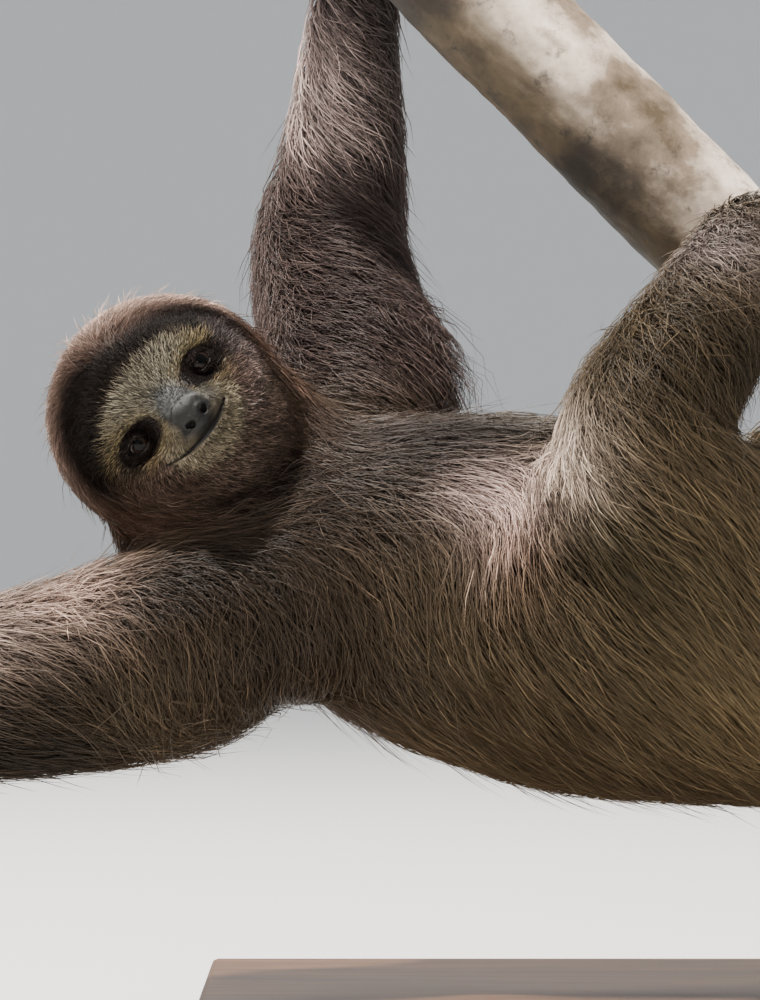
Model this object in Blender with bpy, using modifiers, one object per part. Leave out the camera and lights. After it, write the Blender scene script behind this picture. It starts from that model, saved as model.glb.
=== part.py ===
"""A life-size three-toed sloth that hangs belly-up below a sloping branch.

The head end is at -X, the tail at +X, the belly faces +Z and the right flank faces -Y.
The solids reach out to the tips of the coat. The body is shaped whole from tapering
limbs and rounded masses, fused into one skin, and then parted where a person would name
its parts. The branch is a short cut length that ends on a display stand. The origin is
the middle of the stand's underside. Lengths are in metres.
"""
import math

import bmesh
import bpy
from mathutils import Matrix, Vector

# ---------------------------------------------------------------- driving sizes
GAP = 0.0004               # clearance between solids that touch
BODY_VOXEL = 0.0036        # grain of the fused body before it is thinned
HEAD_VOXEL = 0.0020
BODY_TRIANGLES = 1680
HEAD_TRIANGLES = 660
HEAD_CUTTER_TRIANGLES = 180
HEAD_ROOM = 0.0026         # the cutter is coarser than the head, so it stands off further
BODY_SOFTENING = 8         # rounds of smoothing where the limbs join the trunk
CARVING_ROOM = 0.005       # how far a limb's own part reaches past its centre line's radius
CARVING_VOXEL = 0.006
CARVING_TRIANGLES = 110
TRUNK_BREADTH = 1.06       # breadth of the rib cage and belly against their depth

HEAD_RADIUS = 0.0525
NECK_REACH = 0.084         # from the middle of the head to where the neck meets the chest
EYE_SPREAD = 0.0207        # from the middle of the face to the middle of an eye
EYE_RISE = 0.0012          # of the eyes above the middle of the hood
EYE_RADIUS = 0.0056
EYE_DETAIL = 2             # rounds of division of the eyeball's facets
EYE_DEPTH = 0.0335         # of an eyeball's middle in front of the middle of the hood
EYE_TURN = 0.32            # how far each eye looks to its own side
EYE_OPENING = 0.86         # of the lids at the eyeball's middle, against its radius
NOSE_DROP = 0.0100         # from the line of the eyes down to the nose pad
NOSE_REACH = 0.0565
NOSE_HALF = (0.0084, 0.0086, 0.0045)
EAR_HALF = (0.0032, 0.0085, 0.0065)
EAR_SINK = 0.0035          # of an ear's middle below the top of the hair
CLAW_ROOT_RADIUS = 0.0042
CLAW_TIP_RADIUS = 0.0009
CLAW_SPACING = 0.0125
CLAW_STEPS = 6
CLAW_CLEARANCE = 0.0010    # off the bark, whose facets a claw's own facets pass over
HAND_CLAW_SWEEP = 125      # degrees round the branch, a claw of about 7 cm
FOOT_CLAW_SWEEP = 100

BASE_LENGTH = 0.470
BASE_DEPTH = 0.290
BASE_THICKNESS = 0.020
BASE_BEVEL = 0.003
POST_X = 0.196
POST_RADIUS = 0.010
COLLAR_RADIUS = 0.024
COLLAR_HEIGHT = 0.014
COLLAR_SIDES = 16
SADDLE_LENGTH = 0.050
SADDLE_THICKNESS = 0.004
SADDLE_DEPTH = 0.45        # where its edges end, as a share of the branch's radius
COLLAR_LIP = 0.004

# ---------------------------------------------------------------- landmarks
# Each is a centre and the radius of the coat about it, from root to tip.
TRUNK = (((-0.181, 0, 0.199), 0.063), ((-0.151, 0, 0.194), 0.0705),
         ((-0.118, 0, 0.188), 0.0775), ((-0.067, 0, 0.179), 0.0805),
         ((0.000, 0, 0.172), 0.0775), ((0.050, 0, 0.1685), 0.072),
         ((0.086, 0, 0.166), 0.0655), ((0.1165, 0, 0.164), 0.050))
NECK = (((-0.176, 0, 0.200), 0.059), ((-0.1975, 0, 0.219), 0.0525),
        ((-0.2205, -0.005, 0.241), 0.048))
TAIL = (((0.118, 0, 0.156), 0.027), ((0.143, 0, 0.145), 0.019), ((0.160, 0, 0.136), 0.0135))
ARM_RIGHT = (((-0.208, -0.045, 0.171), 0.043), ((-0.246, -0.052, 0.163), 0.045),
             ((-0.278, -0.057, 0.155), 0.044), ((-0.315, -0.062, 0.148), 0.0395),
             ((-0.347, -0.065, 0.1435), 0.037), ((-0.377, -0.090, 0.156), 0.033),
             ((-0.410, -0.120, 0.177), 0.027), ((-0.439, -0.140, 0.1955), 0.0205))
ARM_LEFT = (((-0.1725, 0.055, 0.244), 0.043), ((-0.175, 0.110, 0.293), 0.041),
            ((-0.183, 0.165, 0.3415), 0.038), ((-0.1765, 0.157, 0.378), 0.0315),
            ((-0.1735, 0.140, 0.4215), 0.0255), ((-0.170, 0.112, 0.467), 0.0210))
LEG_RIGHT = (((0.0275, -0.045, 0.1715), 0.062), ((-0.0115, -0.072, 0.1975), 0.043),
             ((-0.0545, -0.082, 0.246), 0.037), ((-0.0305, -0.055, 0.2905), 0.033),
             ((-0.005, -0.025, 0.327), 0.028))
LEG_LEFT = (((0.0355, 0.045, 0.1695), 0.063), ((0.032, 0.105, 0.194), 0.046),
            ((0.0245, 0.155, 0.225), 0.037), ((0.049, 0.125, 0.2515), 0.032),
            ((0.069, 0.089, 0.272), 0.027))
FREE_HAND = (((-0.439, -0.140, 0.1955), 0.0205), ((-0.459, -0.148, 0.209), 0.019),
             ((-0.4745, -0.150, 0.220), 0.0155))
BRANCH = (((-0.222, 0.065, 0.547), 0.0290), ((-0.175, 0.060, 0.499), 0.0287),
          ((-0.082, 0.048, 0.405), 0.0286), ((0.0005, 0.035, 0.321), 0.0287),
          ((0.0365, 0.032, 0.292), 0.0290), ((0.068, 0.030, 0.278), 0.0292),
          ((0.117, 0.030, 0.2665), 0.0292), ((0.196, 0.030, 0.260), 0.0290),
          ((0.2215, 0.030, 0.2585), 0.0290))

HAND_LEFT_X = -0.185       # where the gripping hand and feet cross the branch
FOOT_RIGHT_X = 0.008
FOOT_RIGHT_DRIFT = 0.004
FOOT_LEFT_X = 0.066

HEAD_CENTRE = Vector((-0.2474, -0.030, 0.2608))
GAZE = Vector((0.065, -0.994, 0.085)).normalized()
HEAD_LEFT = Vector((0.61, 0.0, 0.79))
HEAD_LEFT = (HEAD_LEFT - HEAD_LEFT.project(GAZE)).normalized()
CROWN = GAZE.cross(HEAD_LEFT).normalized()

# Rounded masses: a centre, then half sizes along X, Y and Z.
RIB_CAGE = ((-0.190, 0.000, 0.200), (0.048, 0.066, 0.052))
KNEE_FOLD = ((-0.084, -0.052, 0.213), (0.024, 0.036, 0.040))
ARMPIT_FRINGE = ((-0.134, 0.084, 0.293), (0.039, 0.027, 0.038))
RUFF = ((-0.248, -0.010, 0.209), (0.027, 0.036, 0.018))

# Masses of the head, in its own directions: to its left, to the crown and along the gaze.
HOOD = ((0, 0, -0.006), (HEAD_RADIUS, HEAD_RADIUS, 0.046))
FACE = ((0.001, -0.002, 0.010), (0.044, 0.046, 0.036))
MUZZLE = ((0.0005, -0.0110, 0.036), (0.0180, 0.0150, 0.0235))
CHIN = ((0.0, -0.0215, 0.034), (0.0165, 0.0095, 0.0180))
THROAT = ((0.002, -0.031, 0.012), (0.034, 0.022, 0.026))
CHEEK = ((0.020, -0.016, 0.027), (0.017, 0.015, 0.018))     # the left one; the right mirrors it
BROW = ((0.016, 0.011, 0.031), (0.014, 0.008, 0.012))

# How each hand and foot wraps the branch: turns round it in degrees, with the radius there.
HAND_LEFT_TURNS = ((168, 0.0195), (140, 0.0170), (116, 0.0135))
FOOT_RIGHT_TURNS = ((38, 0.0215), (66, 0.0185), (92, 0.0150))
FOOT_LEFT_TURNS = ((156, 0.0205), (126, 0.0180), (99, 0.0145))

FUR = (0.090, 0.066, 0.045)
LIMB_FUR = (0.105, 0.080, 0.058)
FACE_FUR = (0.235, 0.200, 0.140)
BARK = (0.330, 0.285, 0.225)
HORN = (0.300, 0.240, 0.160)
SKIN = (0.075, 0.075, 0.078)
EYE = (0.020, 0.012, 0.008)
STEEL = (0.560, 0.565, 0.570)
WOOD = (0.120, 0.070, 0.040)


# ---------------------------------------------------------------- scene and helpers
def clear_scene():
    for item in list(bpy.data.objects):
        bpy.data.objects.remove(item)


def new_collection(name):
    group = bpy.data.collections.new(name)
    bpy.context.scene.collection.children.link(group)
    return group


def material(name, colour, roughness, metallic=0.0):
    finish = bpy.data.materials.new(name)
    finish.use_nodes = True
    shader = finish.node_tree.nodes["Principled BSDF"]
    shader.inputs["Base Color"].default_value = (*colour, 1.0)
    shader.inputs["Roughness"].default_value = roughness
    shader.inputs["Metallic"].default_value = metallic
    return finish


def mesh_of(shape):
    """A closed copy of an object's evaluated mesh, in world space; the object is removed."""
    view = bpy.context.evaluated_depsgraph_get()
    mesh = bpy.data.meshes.new_from_object(shape.evaluated_get(view))
    mesh.transform(shape.matrix_world)
    form = bmesh.new()
    form.from_mesh(mesh)
    bmesh.ops.remove_doubles(form, verts=form.verts, dist=0.00002)
    bmesh.ops.recalc_face_normals(form, faces=form.faces)
    form.to_mesh(mesh)
    form.free()
    bpy.data.objects.remove(shape)
    return mesh


def shape_from(mesh, name="shape"):
    shape = bpy.data.objects.new(name, mesh)
    workshop.objects.link(shape)
    bpy.context.view_layer.update()
    return shape


def smooth_path(landmarks, steps=4):
    """Centres and radii along a smooth curve through the landmarks."""
    centres = [Vector(centre) for centre, radius in landmarks]
    radii = [radius for centre, radius in landmarks]
    centres = [2 * centres[0] - centres[1]] + centres + [2 * centres[-1] - centres[-2]]
    radii = [radii[0]] + radii + [radii[-1]]
    path = []
    for index in range(1, len(centres) - 2):
        a, b, c, d = centres[index - 1:index + 3]
        ra, rb, rc, rd = radii[index - 1:index + 3]
        last = index == len(centres) - 3
        for step in range(steps + last):
            t = step / steps
            weights = (-t + 2 * t**2 - t**3, 2 - 5 * t**2 + 3 * t**3,
                       t + 4 * t**2 - 3 * t**3, -t**2 + t**3)
            centre = sum((w * p for w, p in zip(weights, (a, b, c, d))), Vector()) / 2
            radius = sum(w * r for w, r in zip(weights, (ra, rb, rc, rd))) / 2
            path.append((centre, radius))
    return path


def tube(path, resolution=4, extra=0.0):
    """A round solid along a path of centres and radii."""
    curve = bpy.data.curves.new("tube", "CURVE")
    curve.dimensions = "3D"
    curve.bevel_depth = 1.0
    curve.bevel_resolution = resolution
    curve.use_fill_caps = True
    line = curve.splines.new("POLY")
    line.points.add(len(path) - 1)
    for point, (centre, radius) in zip(line.points, path):
        point.co = (*centre, 1.0)
        point.radius = radius + extra
    return mesh_of(shape_from(curve, "tube"))


def ball(centre, radii, axes=None, detail=3):
    """An ellipsoid, whose radii lie along the given axes."""
    turn = Matrix.Identity(3)
    if axes:
        turn = Matrix(axes).transposed()
    place = Matrix.Translation(centre) @ turn.to_4x4() @ Matrix.Diagonal((*radii, 1.0))
    form = bmesh.new()
    bmesh.ops.create_icosphere(form, subdivisions=detail, radius=1.0, matrix=place)
    bmesh.ops.recalc_face_normals(form, faces=form.faces)
    mesh = bpy.data.meshes.new("ball")
    form.to_mesh(mesh)
    form.free()
    return mesh


def limb(landmarks, extra=0.0):
    """A tapering limb with round ends, as loose meshes that overlap."""
    path = smooth_path(landmarks)
    ends = [ball(centre, (radius + extra,) * 3) for centre, radius in (path[0], path[-1])]
    return [tube(path, resolution=6, extra=extra)] + ends


def joined(meshes):
    form = bmesh.new()
    for mesh in meshes:
        form.from_mesh(mesh)
    whole = bpy.data.meshes.new("joined")
    form.to_mesh(whole)
    form.free()
    return whole


def fused(meshes, voxel, rounds):
    """One closed skin round overlapping meshes, with their meetings softened."""
    shape = shape_from(joined(meshes))
    remesh = shape.modifiers.new("fuse", "REMESH")
    remesh.mode = "VOXEL"
    remesh.voxel_size = voxel
    soften = shape.modifiers.new("soften", "SMOOTH")
    soften.factor = 0.5
    soften.iterations = rounds
    return mesh_of(shape)


def thinned(mesh, triangles):
    """The same form in about so many triangles."""
    faces = sum(len(polygon.vertices) - 2 for polygon in mesh.polygons)
    shape = shape_from(mesh)
    even = shape.modifiers.new("triangles", "TRIANGULATE")
    even.quad_method = "BEAUTY"
    thin = shape.modifiers.new("thin", "DECIMATE")
    thin.ratio = min(1.0, triangles / faces)
    return mesh_of(shape)


def boolean(mesh, cutter, operation):
    """A mesh with another taken from it, or the part of it that lies inside the other."""
    shape = shape_from(mesh.copy())
    tool = shape_from(cutter)
    cut = shape.modifiers.new("cut", "BOOLEAN")
    cut.solver = "EXACT"
    cut.operation = operation
    cut.object = tool
    result = mesh_of(shape)
    bpy.data.objects.remove(tool)
    return largest(result)


def largest(mesh):
    """The mesh without the crumbs that a cut can leave beside its main body."""
    form = bmesh.new()
    form.from_mesh(mesh)
    waiting = set(form.faces)
    bodies = []
    while waiting:
        body = {waiting.pop()}
        edge_faces = list(body)
        while edge_faces:
            face = edge_faces.pop()
            for edge in face.edges:
                for other in edge.link_faces:
                    if other in waiting:
                        waiting.discard(other)
                        body.add(other)
                        edge_faces.append(other)
        bodies.append(body)
    main = max(bodies, key=lambda body: sum(face.calc_area() for face in body))
    crumbs = [face for face in form.faces if face not in main]
    bmesh.ops.delete(form, geom=crumbs, context="FACES")
    form.to_mesh(mesh)
    form.free()
    return mesh


def half_space(point, normal, size=1.2):
    """A large block whose one face lies at the point, on the side the normal points to."""
    turn = Vector((0, 0, 1)).rotation_difference(normal).to_matrix().to_4x4()
    place = Matrix.Translation(Vector(point) + normal * size / 2) @ turn
    form = bmesh.new()
    bmesh.ops.create_cube(form, size=size, matrix=place)
    mesh = bpy.data.meshes.new("half_space")
    form.to_mesh(mesh)
    form.free()
    return mesh


def part_at(mesh, point, normal):
    """The two sides of a thin cut: the one the normal points away from, then the other."""
    normal = Vector(normal).normalized()
    point = Vector(point)
    near = boolean(mesh, half_space(point - normal * GAP / 2, normal), "DIFFERENCE")
    far = boolean(mesh, half_space(point + normal * GAP / 2, normal), "INTERSECT")
    return near, far


def part_along(mesh, landmarks, place):
    """A thin cut square to a limb, at a place counted in landmarks from its root."""
    steps = 8
    path = [centre for centre, radius in smooth_path(landmarks, steps)]
    index = round(place * steps)
    return part_at(mesh, path[index], path[index + 1] - path[index - 1])


def without(mesh, cutters):
    for cutter in cutters:
        mesh = boolean(mesh, cutter, "DIFFERENCE")
    return mesh


def grown(mesh, extra):
    """A copy of a mesh with its skin moved outwards."""
    copy = mesh.copy()
    normals = [Vector(normal.vector) for normal in copy.vertex_normals]
    for vertex, normal in zip(copy.vertices, normals):
        vertex.co += normal * extra
    return copy


def node(name, mesh, finish, carrier, smooth=True):
    """A named sub-part whose origin is at the middle of its own box."""
    corners = [Vector(vertex.co) for vertex in mesh.vertices]
    low = Vector(min(corner[axis] for corner in corners) for axis in range(3))
    high = Vector(max(corner[axis] for corner in corners) for axis in range(3))
    middle = (low + high) / 2
    mesh.transform(Matrix.Translation(-middle))
    mesh.materials.clear()
    mesh.materials.append(finish)
    if smooth:
        mesh.shade_smooth()
    part = bpy.data.objects.new(name, mesh)
    part.location = middle
    part.parent = carrier
    model.objects.link(part)
    return part


# ---------------------------------------------------------------- the branch
def branch_mesh(extra=0.0):
    return tube(smooth_path(BRANCH, steps=2), resolution=4, extra=extra)


def branch_frame(x):
    """The branch's centre, radius, direction and upward normal, where it crosses x."""
    path = smooth_path(BRANCH, steps=24)
    index = min(range(1, len(path) - 1), key=lambda place: abs(path[place][0].x - x))
    centre, radius = path[index]
    along = (path[index + 1][0] - path[index - 1][0]).normalized()
    front = Vector((0, -1, 0))
    front = (front - front.project(along)).normalized()
    return centre, radius, along, front, front.cross(along)


def round_branch(x, degrees, height, shift=0.0):
    """A point at a height over the bark: 0 degrees is in front, 90 above and 180 behind."""
    centre, radius, along, front, up = branch_frame(x)
    turn = math.radians(degrees)
    out = front * math.cos(turn) + up * math.sin(turn)
    return centre + out * (radius + height) + along * shift


# ---------------------------------------------------------------- hands, feet and claws
def grip(x, wrist, turns, drift=0.0):
    """A palm or sole laid round the branch, from the wrist through (degrees, radius) turns."""
    points = [wrist]
    for index, (degrees, radius) in enumerate(turns):
        points.append((round_branch(x, degrees, radius * 0.92, drift * (index + 1)), radius))
    return points


def gripping_claw(x, start, sweep, shift):
    """One claw hooked round the branch; a negative sweep comes back over it to the front."""
    path = []
    steps = CLAW_STEPS
    for step in range(steps + 1):
        t = step / steps
        radius = CLAW_ROOT_RADIUS + (CLAW_TIP_RADIUS - CLAW_ROOT_RADIUS) * t**1.3
        height = radius + CLAW_CLEARANCE + 0.0045 * (1 - t)**2
        path.append((round_branch(x, start + sweep * t, height, shift * (1 + 0.25 * t)), radius))
    return path


def free_claw(root, forward, up, length, shift):
    """One claw of an open hand: it runs forward and curls up through a third of a turn."""
    path = []
    steps = CLAW_STEPS
    reach = math.radians(110)
    for step in range(steps + 1):
        t = step / steps
        turn = reach * t
        curl = forward * math.sin(turn) + up * (1 - math.cos(turn))
        radius = CLAW_ROOT_RADIUS + (CLAW_TIP_RADIUS - CLAW_ROOT_RADIUS) * t**1.3
        path.append((root + curl * length / reach + shift * (1 + 0.25 * t), radius))
    return path


def claw_sets():
    """Three claws for each limb, as paths."""
    sets = {}
    shifts = (-CLAW_SPACING, 0.0, CLAW_SPACING)
    sets["foot_right"] = [gripping_claw(FOOT_RIGHT_X, 92, FOOT_CLAW_SWEEP, FOOT_RIGHT_DRIFT + s)
                          for s in shifts]
    sets["foot_left"] = [gripping_claw(FOOT_LEFT_X, 96, -FOOT_CLAW_SWEEP, s) for s in shifts]
    sets["hand_left"] = [gripping_claw(HAND_LEFT_X, 112, -HAND_CLAW_SWEEP, s) for s in shifts]
    knuckle = Vector(FREE_HAND[-1][0])
    forward = (knuckle - Vector(FREE_HAND[0][0])).normalized()
    side = forward.cross(Vector((0.3, 0, 1))).normalized()
    up = side.cross(forward)
    sets["hand_right"] = [free_claw(knuckle + forward * 0.004, forward, up, 0.070, side * s)
                          for s in shifts]
    return sets



# ---------------------------------------------------------------- the head
def in_head(left, crown, forward):
    """A point given in the head's own directions from the middle of the hood."""
    return HEAD_CENTRE + HEAD_LEFT * left + CROWN * crown + GAZE * forward


def head_ball(place, radii):
    return ball(in_head(*place), radii, (HEAD_LEFT, CROWN, GAZE))


def head_mass():
    """The hood of long hair, the dished face, the broad short muzzle and the throat."""
    masses = [head_ball(place, radii) for place, radii in (HOOD, FACE, MUZZLE, CHIN, THROAT)]
    for (left, crown, forward), radii in (CHEEK, BROW):
        masses += [head_ball((side * left, crown, forward), radii) for side in (-1, 1)]
    return thinned(fused(masses, HEAD_VOXEL, 6), HEAD_TRIANGLES)


def eye_place(side):
    """The middle of an eyeball, a little below the coat of the face."""
    return in_head(side * EYE_SPREAD, EYE_RISE, EYE_DEPTH)


def eye_outward(side):
    return (GAZE + HEAD_LEFT * side * EYE_TURN).normalized()


def eye_socket(side):
    """The space round an eyeball, as cutters: the opening between the lids, then the bowl."""
    centre = eye_place(side)
    out = eye_outward(side)
    bowl = ball(centre, (EYE_RADIUS + GAP,) * 3, detail=EYE_DETAIL)
    opening = tube([(centre, EYE_RADIUS * EYE_OPENING),
                    (centre + out * EYE_RADIUS * 4, EYE_RADIUS * (EYE_OPENING + 0.08))],
                   resolution=2)
    return [opening, bowl]


def nose_mass(extra=0.0):
    """The bare pad, wider at its top, that carries the nostrils."""
    place = in_head(MUZZLE[0][0], EYE_RISE - NOSE_DROP, NOSE_REACH)
    radii = tuple(half + extra for half in NOSE_HALF)
    return ball(place, radii, (HEAD_LEFT, CROWN, GAZE), detail=2)


def ear_mass(side, extra=0.0):
    """A low round ear that lies in the hair at the side of the head."""
    out = (HEAD_LEFT * side - GAZE * 0.35 + CROWN * 0.10).normalized()
    back = out.cross(CROWN).normalized()
    up = back.cross(out)
    centre = in_head(*HOOD[0]) + out * (HEAD_RADIUS - EAR_SINK)
    return ball(centre, tuple(half + extra for half in EAR_HALF), (out, up, back), detail=2)


# ---------------------------------------------------------------- the body
def trunk_masses():
    """Rib cage, belly and rump, with the pads of muscle at the shoulders and groin."""
    meshes = limb(TRUNK)
    for mesh in meshes:
        mesh.transform(Matrix.Diagonal((1.0, TRUNK_BREADTH, 1.0, 1.0)))
    return meshes + [ball(*mass) for mass in (RIB_CAGE, KNEE_FOLD, ARMPIT_FRINGE, RUFF)]


def extremities():
    """The centre lines of the hands and feet, each from its wrist or ankle."""
    return {
        "hand_right": FREE_HAND,
        "hand_left": grip(HAND_LEFT_X, ARM_LEFT[-1], HAND_LEFT_TURNS),
        "foot_right": grip(FOOT_RIGHT_X, LEG_RIGHT[-1], FOOT_RIGHT_TURNS, FOOT_RIGHT_DRIFT / 3),
        "foot_left": grip(FOOT_LEFT_X, LEG_LEFT[-1], FOOT_LEFT_TURNS),
    }


LIMBS = (
    # landmarks, the end's name, the limb's two lengths, and where the two cuts lie
    (ARM_RIGHT, "hand_right", ("upper_arm_right", "forearm_right"), (4.0, 6.75)),
    (ARM_LEFT, "hand_left", ("upper_arm_left", "forearm_left"), (2.0, 4.75)),
    (LEG_RIGHT, "foot_right", ("thigh_right", "shank_right"), (2.0, 3.75)),
    (LEG_LEFT, "foot_left", ("thigh_left", "shank_left"), (2.0, 3.75)),
)


def whole_body(ends):
    """Trunk, neck, tail and limbs in one skin, clear of the branch that they hold."""
    meshes = trunk_masses() + limb(NECK) + limb(TAIL)
    for landmarks, end_name, lengths, cuts in LIMBS:
        meshes += limb(landmarks) + limb(ends[end_name])
    body = thinned(fused(meshes, BODY_VOXEL, BODY_SOFTENING), BODY_TRIANGLES)
    return boolean(body, branch_mesh(extra=GAP), "DIFFERENCE")


def region_about(centre_lines):
    """A plain closed form a little wider than the limbs along some centre lines."""
    meshes = []
    for landmarks in centre_lines:
        meshes += limb(landmarks, extra=CARVING_ROOM)
    return thinned(fused(meshes, CARVING_VOXEL, 2), CARVING_TRIANGLES)


def carved(body, region):
    """What lies inside a region, and the rest of the body, with a gap between."""
    wider = grown(region, GAP)
    return boolean(body, region, "INTERSECT"), boolean(body, wider, "DIFFERENCE")


def body_parts():
    """Every fleshy sub-part but the head, by name."""
    ends = extremities()
    claws = claw_sets()
    head_cutter = grown(thinned(head_mass(), HEAD_CUTTER_TRIANGLES), HEAD_ROOM)
    body = boolean(whole_body(ends), head_cutter, "DIFFERENCE")
    parts = {}
    for landmarks, end_name, lengths, cuts in LIMBS:
        whole_limb, body = carved(body, region_about((landmarks, ends[end_name])))
        parts[lengths[0]], rest = part_along(whole_limb, landmarks, cuts[0])
        parts[lengths[1]], end = part_along(rest, landmarks, cuts[1])
        sockets = [tube(path, resolution=1, extra=GAP) for path in claws[end_name]]
        parts[end_name] = without(end, sockets)
    parts["neck"], body = carved(body, ball(HEAD_CENTRE, (NECK_REACH,) * 3))
    parts["tail"], parts["trunk"] = carved(body, region_about((TAIL,)))
    return parts


def build_sloth():
    carrier = bpy.data.objects.new("sloth", None)
    model.objects.link(carrier)
    fur = material("long_fur", FUR, 0.75)
    limb_fur = material("limb_fur", LIMB_FUR, 0.78)
    face_fur = material("face_fur", FACE_FUR, 0.70)
    bare_skin = material("bare_skin", SKIN, 0.45)
    horn = material("horn", HORN, 0.35)
    wet_eye = material("wet_eye", EYE, 0.08)

    for name, mesh in body_parts().items():
        node(name, mesh, fur if name in ("trunk", "neck", "tail") else limb_fur, carrier)
    for end_name, paths in claw_sets().items():
        for number, path in enumerate(paths, 1):
            node(f"claw_{end_name}_{number}", tube(path, resolution=1), horn, carrier)

    head = boolean(head_mass(), nose_mass(extra=GAP), "DIFFERENCE")
    for side, word in ((1, "left"), (-1, "right")):
        head = without(head, eye_socket(side) + [ear_mass(side, extra=GAP)])
        node(f"eye_{word}", ball(eye_place(side), (EYE_RADIUS,) * 3, detail=EYE_DETAIL), wet_eye, carrier)
        node(f"ear_{word}", ear_mass(side), limb_fur, carrier)
    node("head", head, face_fur, carrier)
    node("nose", nose_mass(), bare_skin, carrier)


# ---------------------------------------------------------------- the perch and its stand
def build_stand():
    carrier = bpy.data.objects.new("stand", None)
    model.objects.link(carrier)
    wood = material("stand_wood", WOOD, 0.40)
    steel = material("stand_steel", STEEL, 0.30, metallic=1.0)
    node("perch_branch", branch_mesh(), material("bark", BARK, 0.85), carrier)

    centre, radius, along, front, up = branch_frame(POST_X)
    slope = abs(along.z / along.x)
    saddle_foot = centre.z - (radius + SADDLE_THICKNESS) * math.hypot(1, slope) - POST_RADIUS * slope
    block = bmesh.new()
    bmesh.ops.create_cube(block, size=1.0)
    base_mesh = bpy.data.meshes.new("base")
    block.to_mesh(base_mesh)
    block.free()
    base_mesh.transform(Matrix.Diagonal((BASE_LENGTH, BASE_DEPTH, BASE_THICKNESS, 1.0)))
    base_mesh.transform(Matrix.Translation((0, 0, BASE_THICKNESS / 2)))
    base = node("stand_base", base_mesh, wood, carrier, smooth=False)
    edge = base.modifiers.new("edge", "BEVEL")
    edge.width = BASE_BEVEL
    edge.segments = 2

    post_foot = BASE_THICKNESS + GAP
    post = tube([(Vector((POST_X, centre.y, post_foot)), POST_RADIUS),
                 (Vector((POST_X, centre.y, saddle_foot - GAP)), POST_RADIUS)], resolution=8)
    node("stand_post", post, steel, carrier)

    saddle = tube([(centre - along * SADDLE_LENGTH / 2, radius + SADDLE_THICKNESS),
                   (centre + along * SADDLE_LENGTH / 2, radius + SADDLE_THICKNESS)], resolution=8)
    above = half_space(centre - up * radius * SADDLE_DEPTH, up)
    saddle = without(saddle, [above, branch_mesh(extra=GAP)])
    node("stand_saddle", saddle, steel, carrier)

    profile = bpy.data.meshes.new("collar")
    outline = bmesh.new()
    bore = POST_RADIUS + GAP
    low = BASE_THICKNESS + GAP
    ring = [(bore, low + COLLAR_HEIGHT), (bore + COLLAR_LIP, low + COLLAR_HEIGHT),
            (COLLAR_RADIUS, low + COLLAR_LIP), (COLLAR_RADIUS, low), (bore, low)]
    points = [outline.verts.new((x, 0, z)) for x, z in ring]
    for first, second in zip(points, points[1:] + points[:1]):
        outline.edges.new((first, second))
    outline.to_mesh(profile)
    outline.free()
    collar_shape = shape_from(profile)
    turn = collar_shape.modifiers.new("turn", "SCREW")
    turn.steps = COLLAR_SIDES
    turn.render_steps = COLLAR_SIDES
    turn.use_merge_vertices = True
    turn.merge_threshold = 0.00005
    collar = mesh_of(collar_shape)
    collar.transform(Matrix.Translation((POST_X, centre.y, 0)))
    node("stand_collar", collar, steel, carrier)


clear_scene()
model = new_collection("three_toed_sloth")
workshop = new_collection("workshop")
build_sloth()
build_stand()
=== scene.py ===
import math

import bmesh
import bpy
import numpy as np
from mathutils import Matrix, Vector, noise
from mathutils.bvhtree import BVHTree
from mathutils.kdtree import KDTree


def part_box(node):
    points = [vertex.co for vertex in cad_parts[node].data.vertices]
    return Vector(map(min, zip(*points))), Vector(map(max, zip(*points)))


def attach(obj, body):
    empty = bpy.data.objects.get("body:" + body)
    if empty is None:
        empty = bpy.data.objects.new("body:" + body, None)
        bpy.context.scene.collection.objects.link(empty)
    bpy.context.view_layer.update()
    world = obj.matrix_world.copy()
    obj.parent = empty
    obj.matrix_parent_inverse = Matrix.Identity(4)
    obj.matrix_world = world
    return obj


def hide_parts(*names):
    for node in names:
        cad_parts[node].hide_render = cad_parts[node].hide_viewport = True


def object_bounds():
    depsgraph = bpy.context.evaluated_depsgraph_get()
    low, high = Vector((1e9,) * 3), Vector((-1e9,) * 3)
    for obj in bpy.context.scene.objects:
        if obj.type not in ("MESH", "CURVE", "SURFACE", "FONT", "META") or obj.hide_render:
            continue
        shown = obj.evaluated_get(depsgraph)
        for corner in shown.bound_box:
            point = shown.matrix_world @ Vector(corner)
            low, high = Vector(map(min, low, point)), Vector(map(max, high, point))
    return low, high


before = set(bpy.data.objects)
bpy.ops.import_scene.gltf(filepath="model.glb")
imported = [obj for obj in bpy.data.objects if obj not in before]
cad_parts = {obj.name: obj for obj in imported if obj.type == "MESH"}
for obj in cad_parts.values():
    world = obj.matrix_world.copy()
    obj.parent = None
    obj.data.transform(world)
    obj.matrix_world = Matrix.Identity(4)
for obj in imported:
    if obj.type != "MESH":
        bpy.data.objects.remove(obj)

CAD_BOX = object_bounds()
SEED = 71
UP = np.array((0.0, 0.0, 1.0))
CAMERA_PLACE = np.array((-0.1596, -2.2, 0.225))

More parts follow.
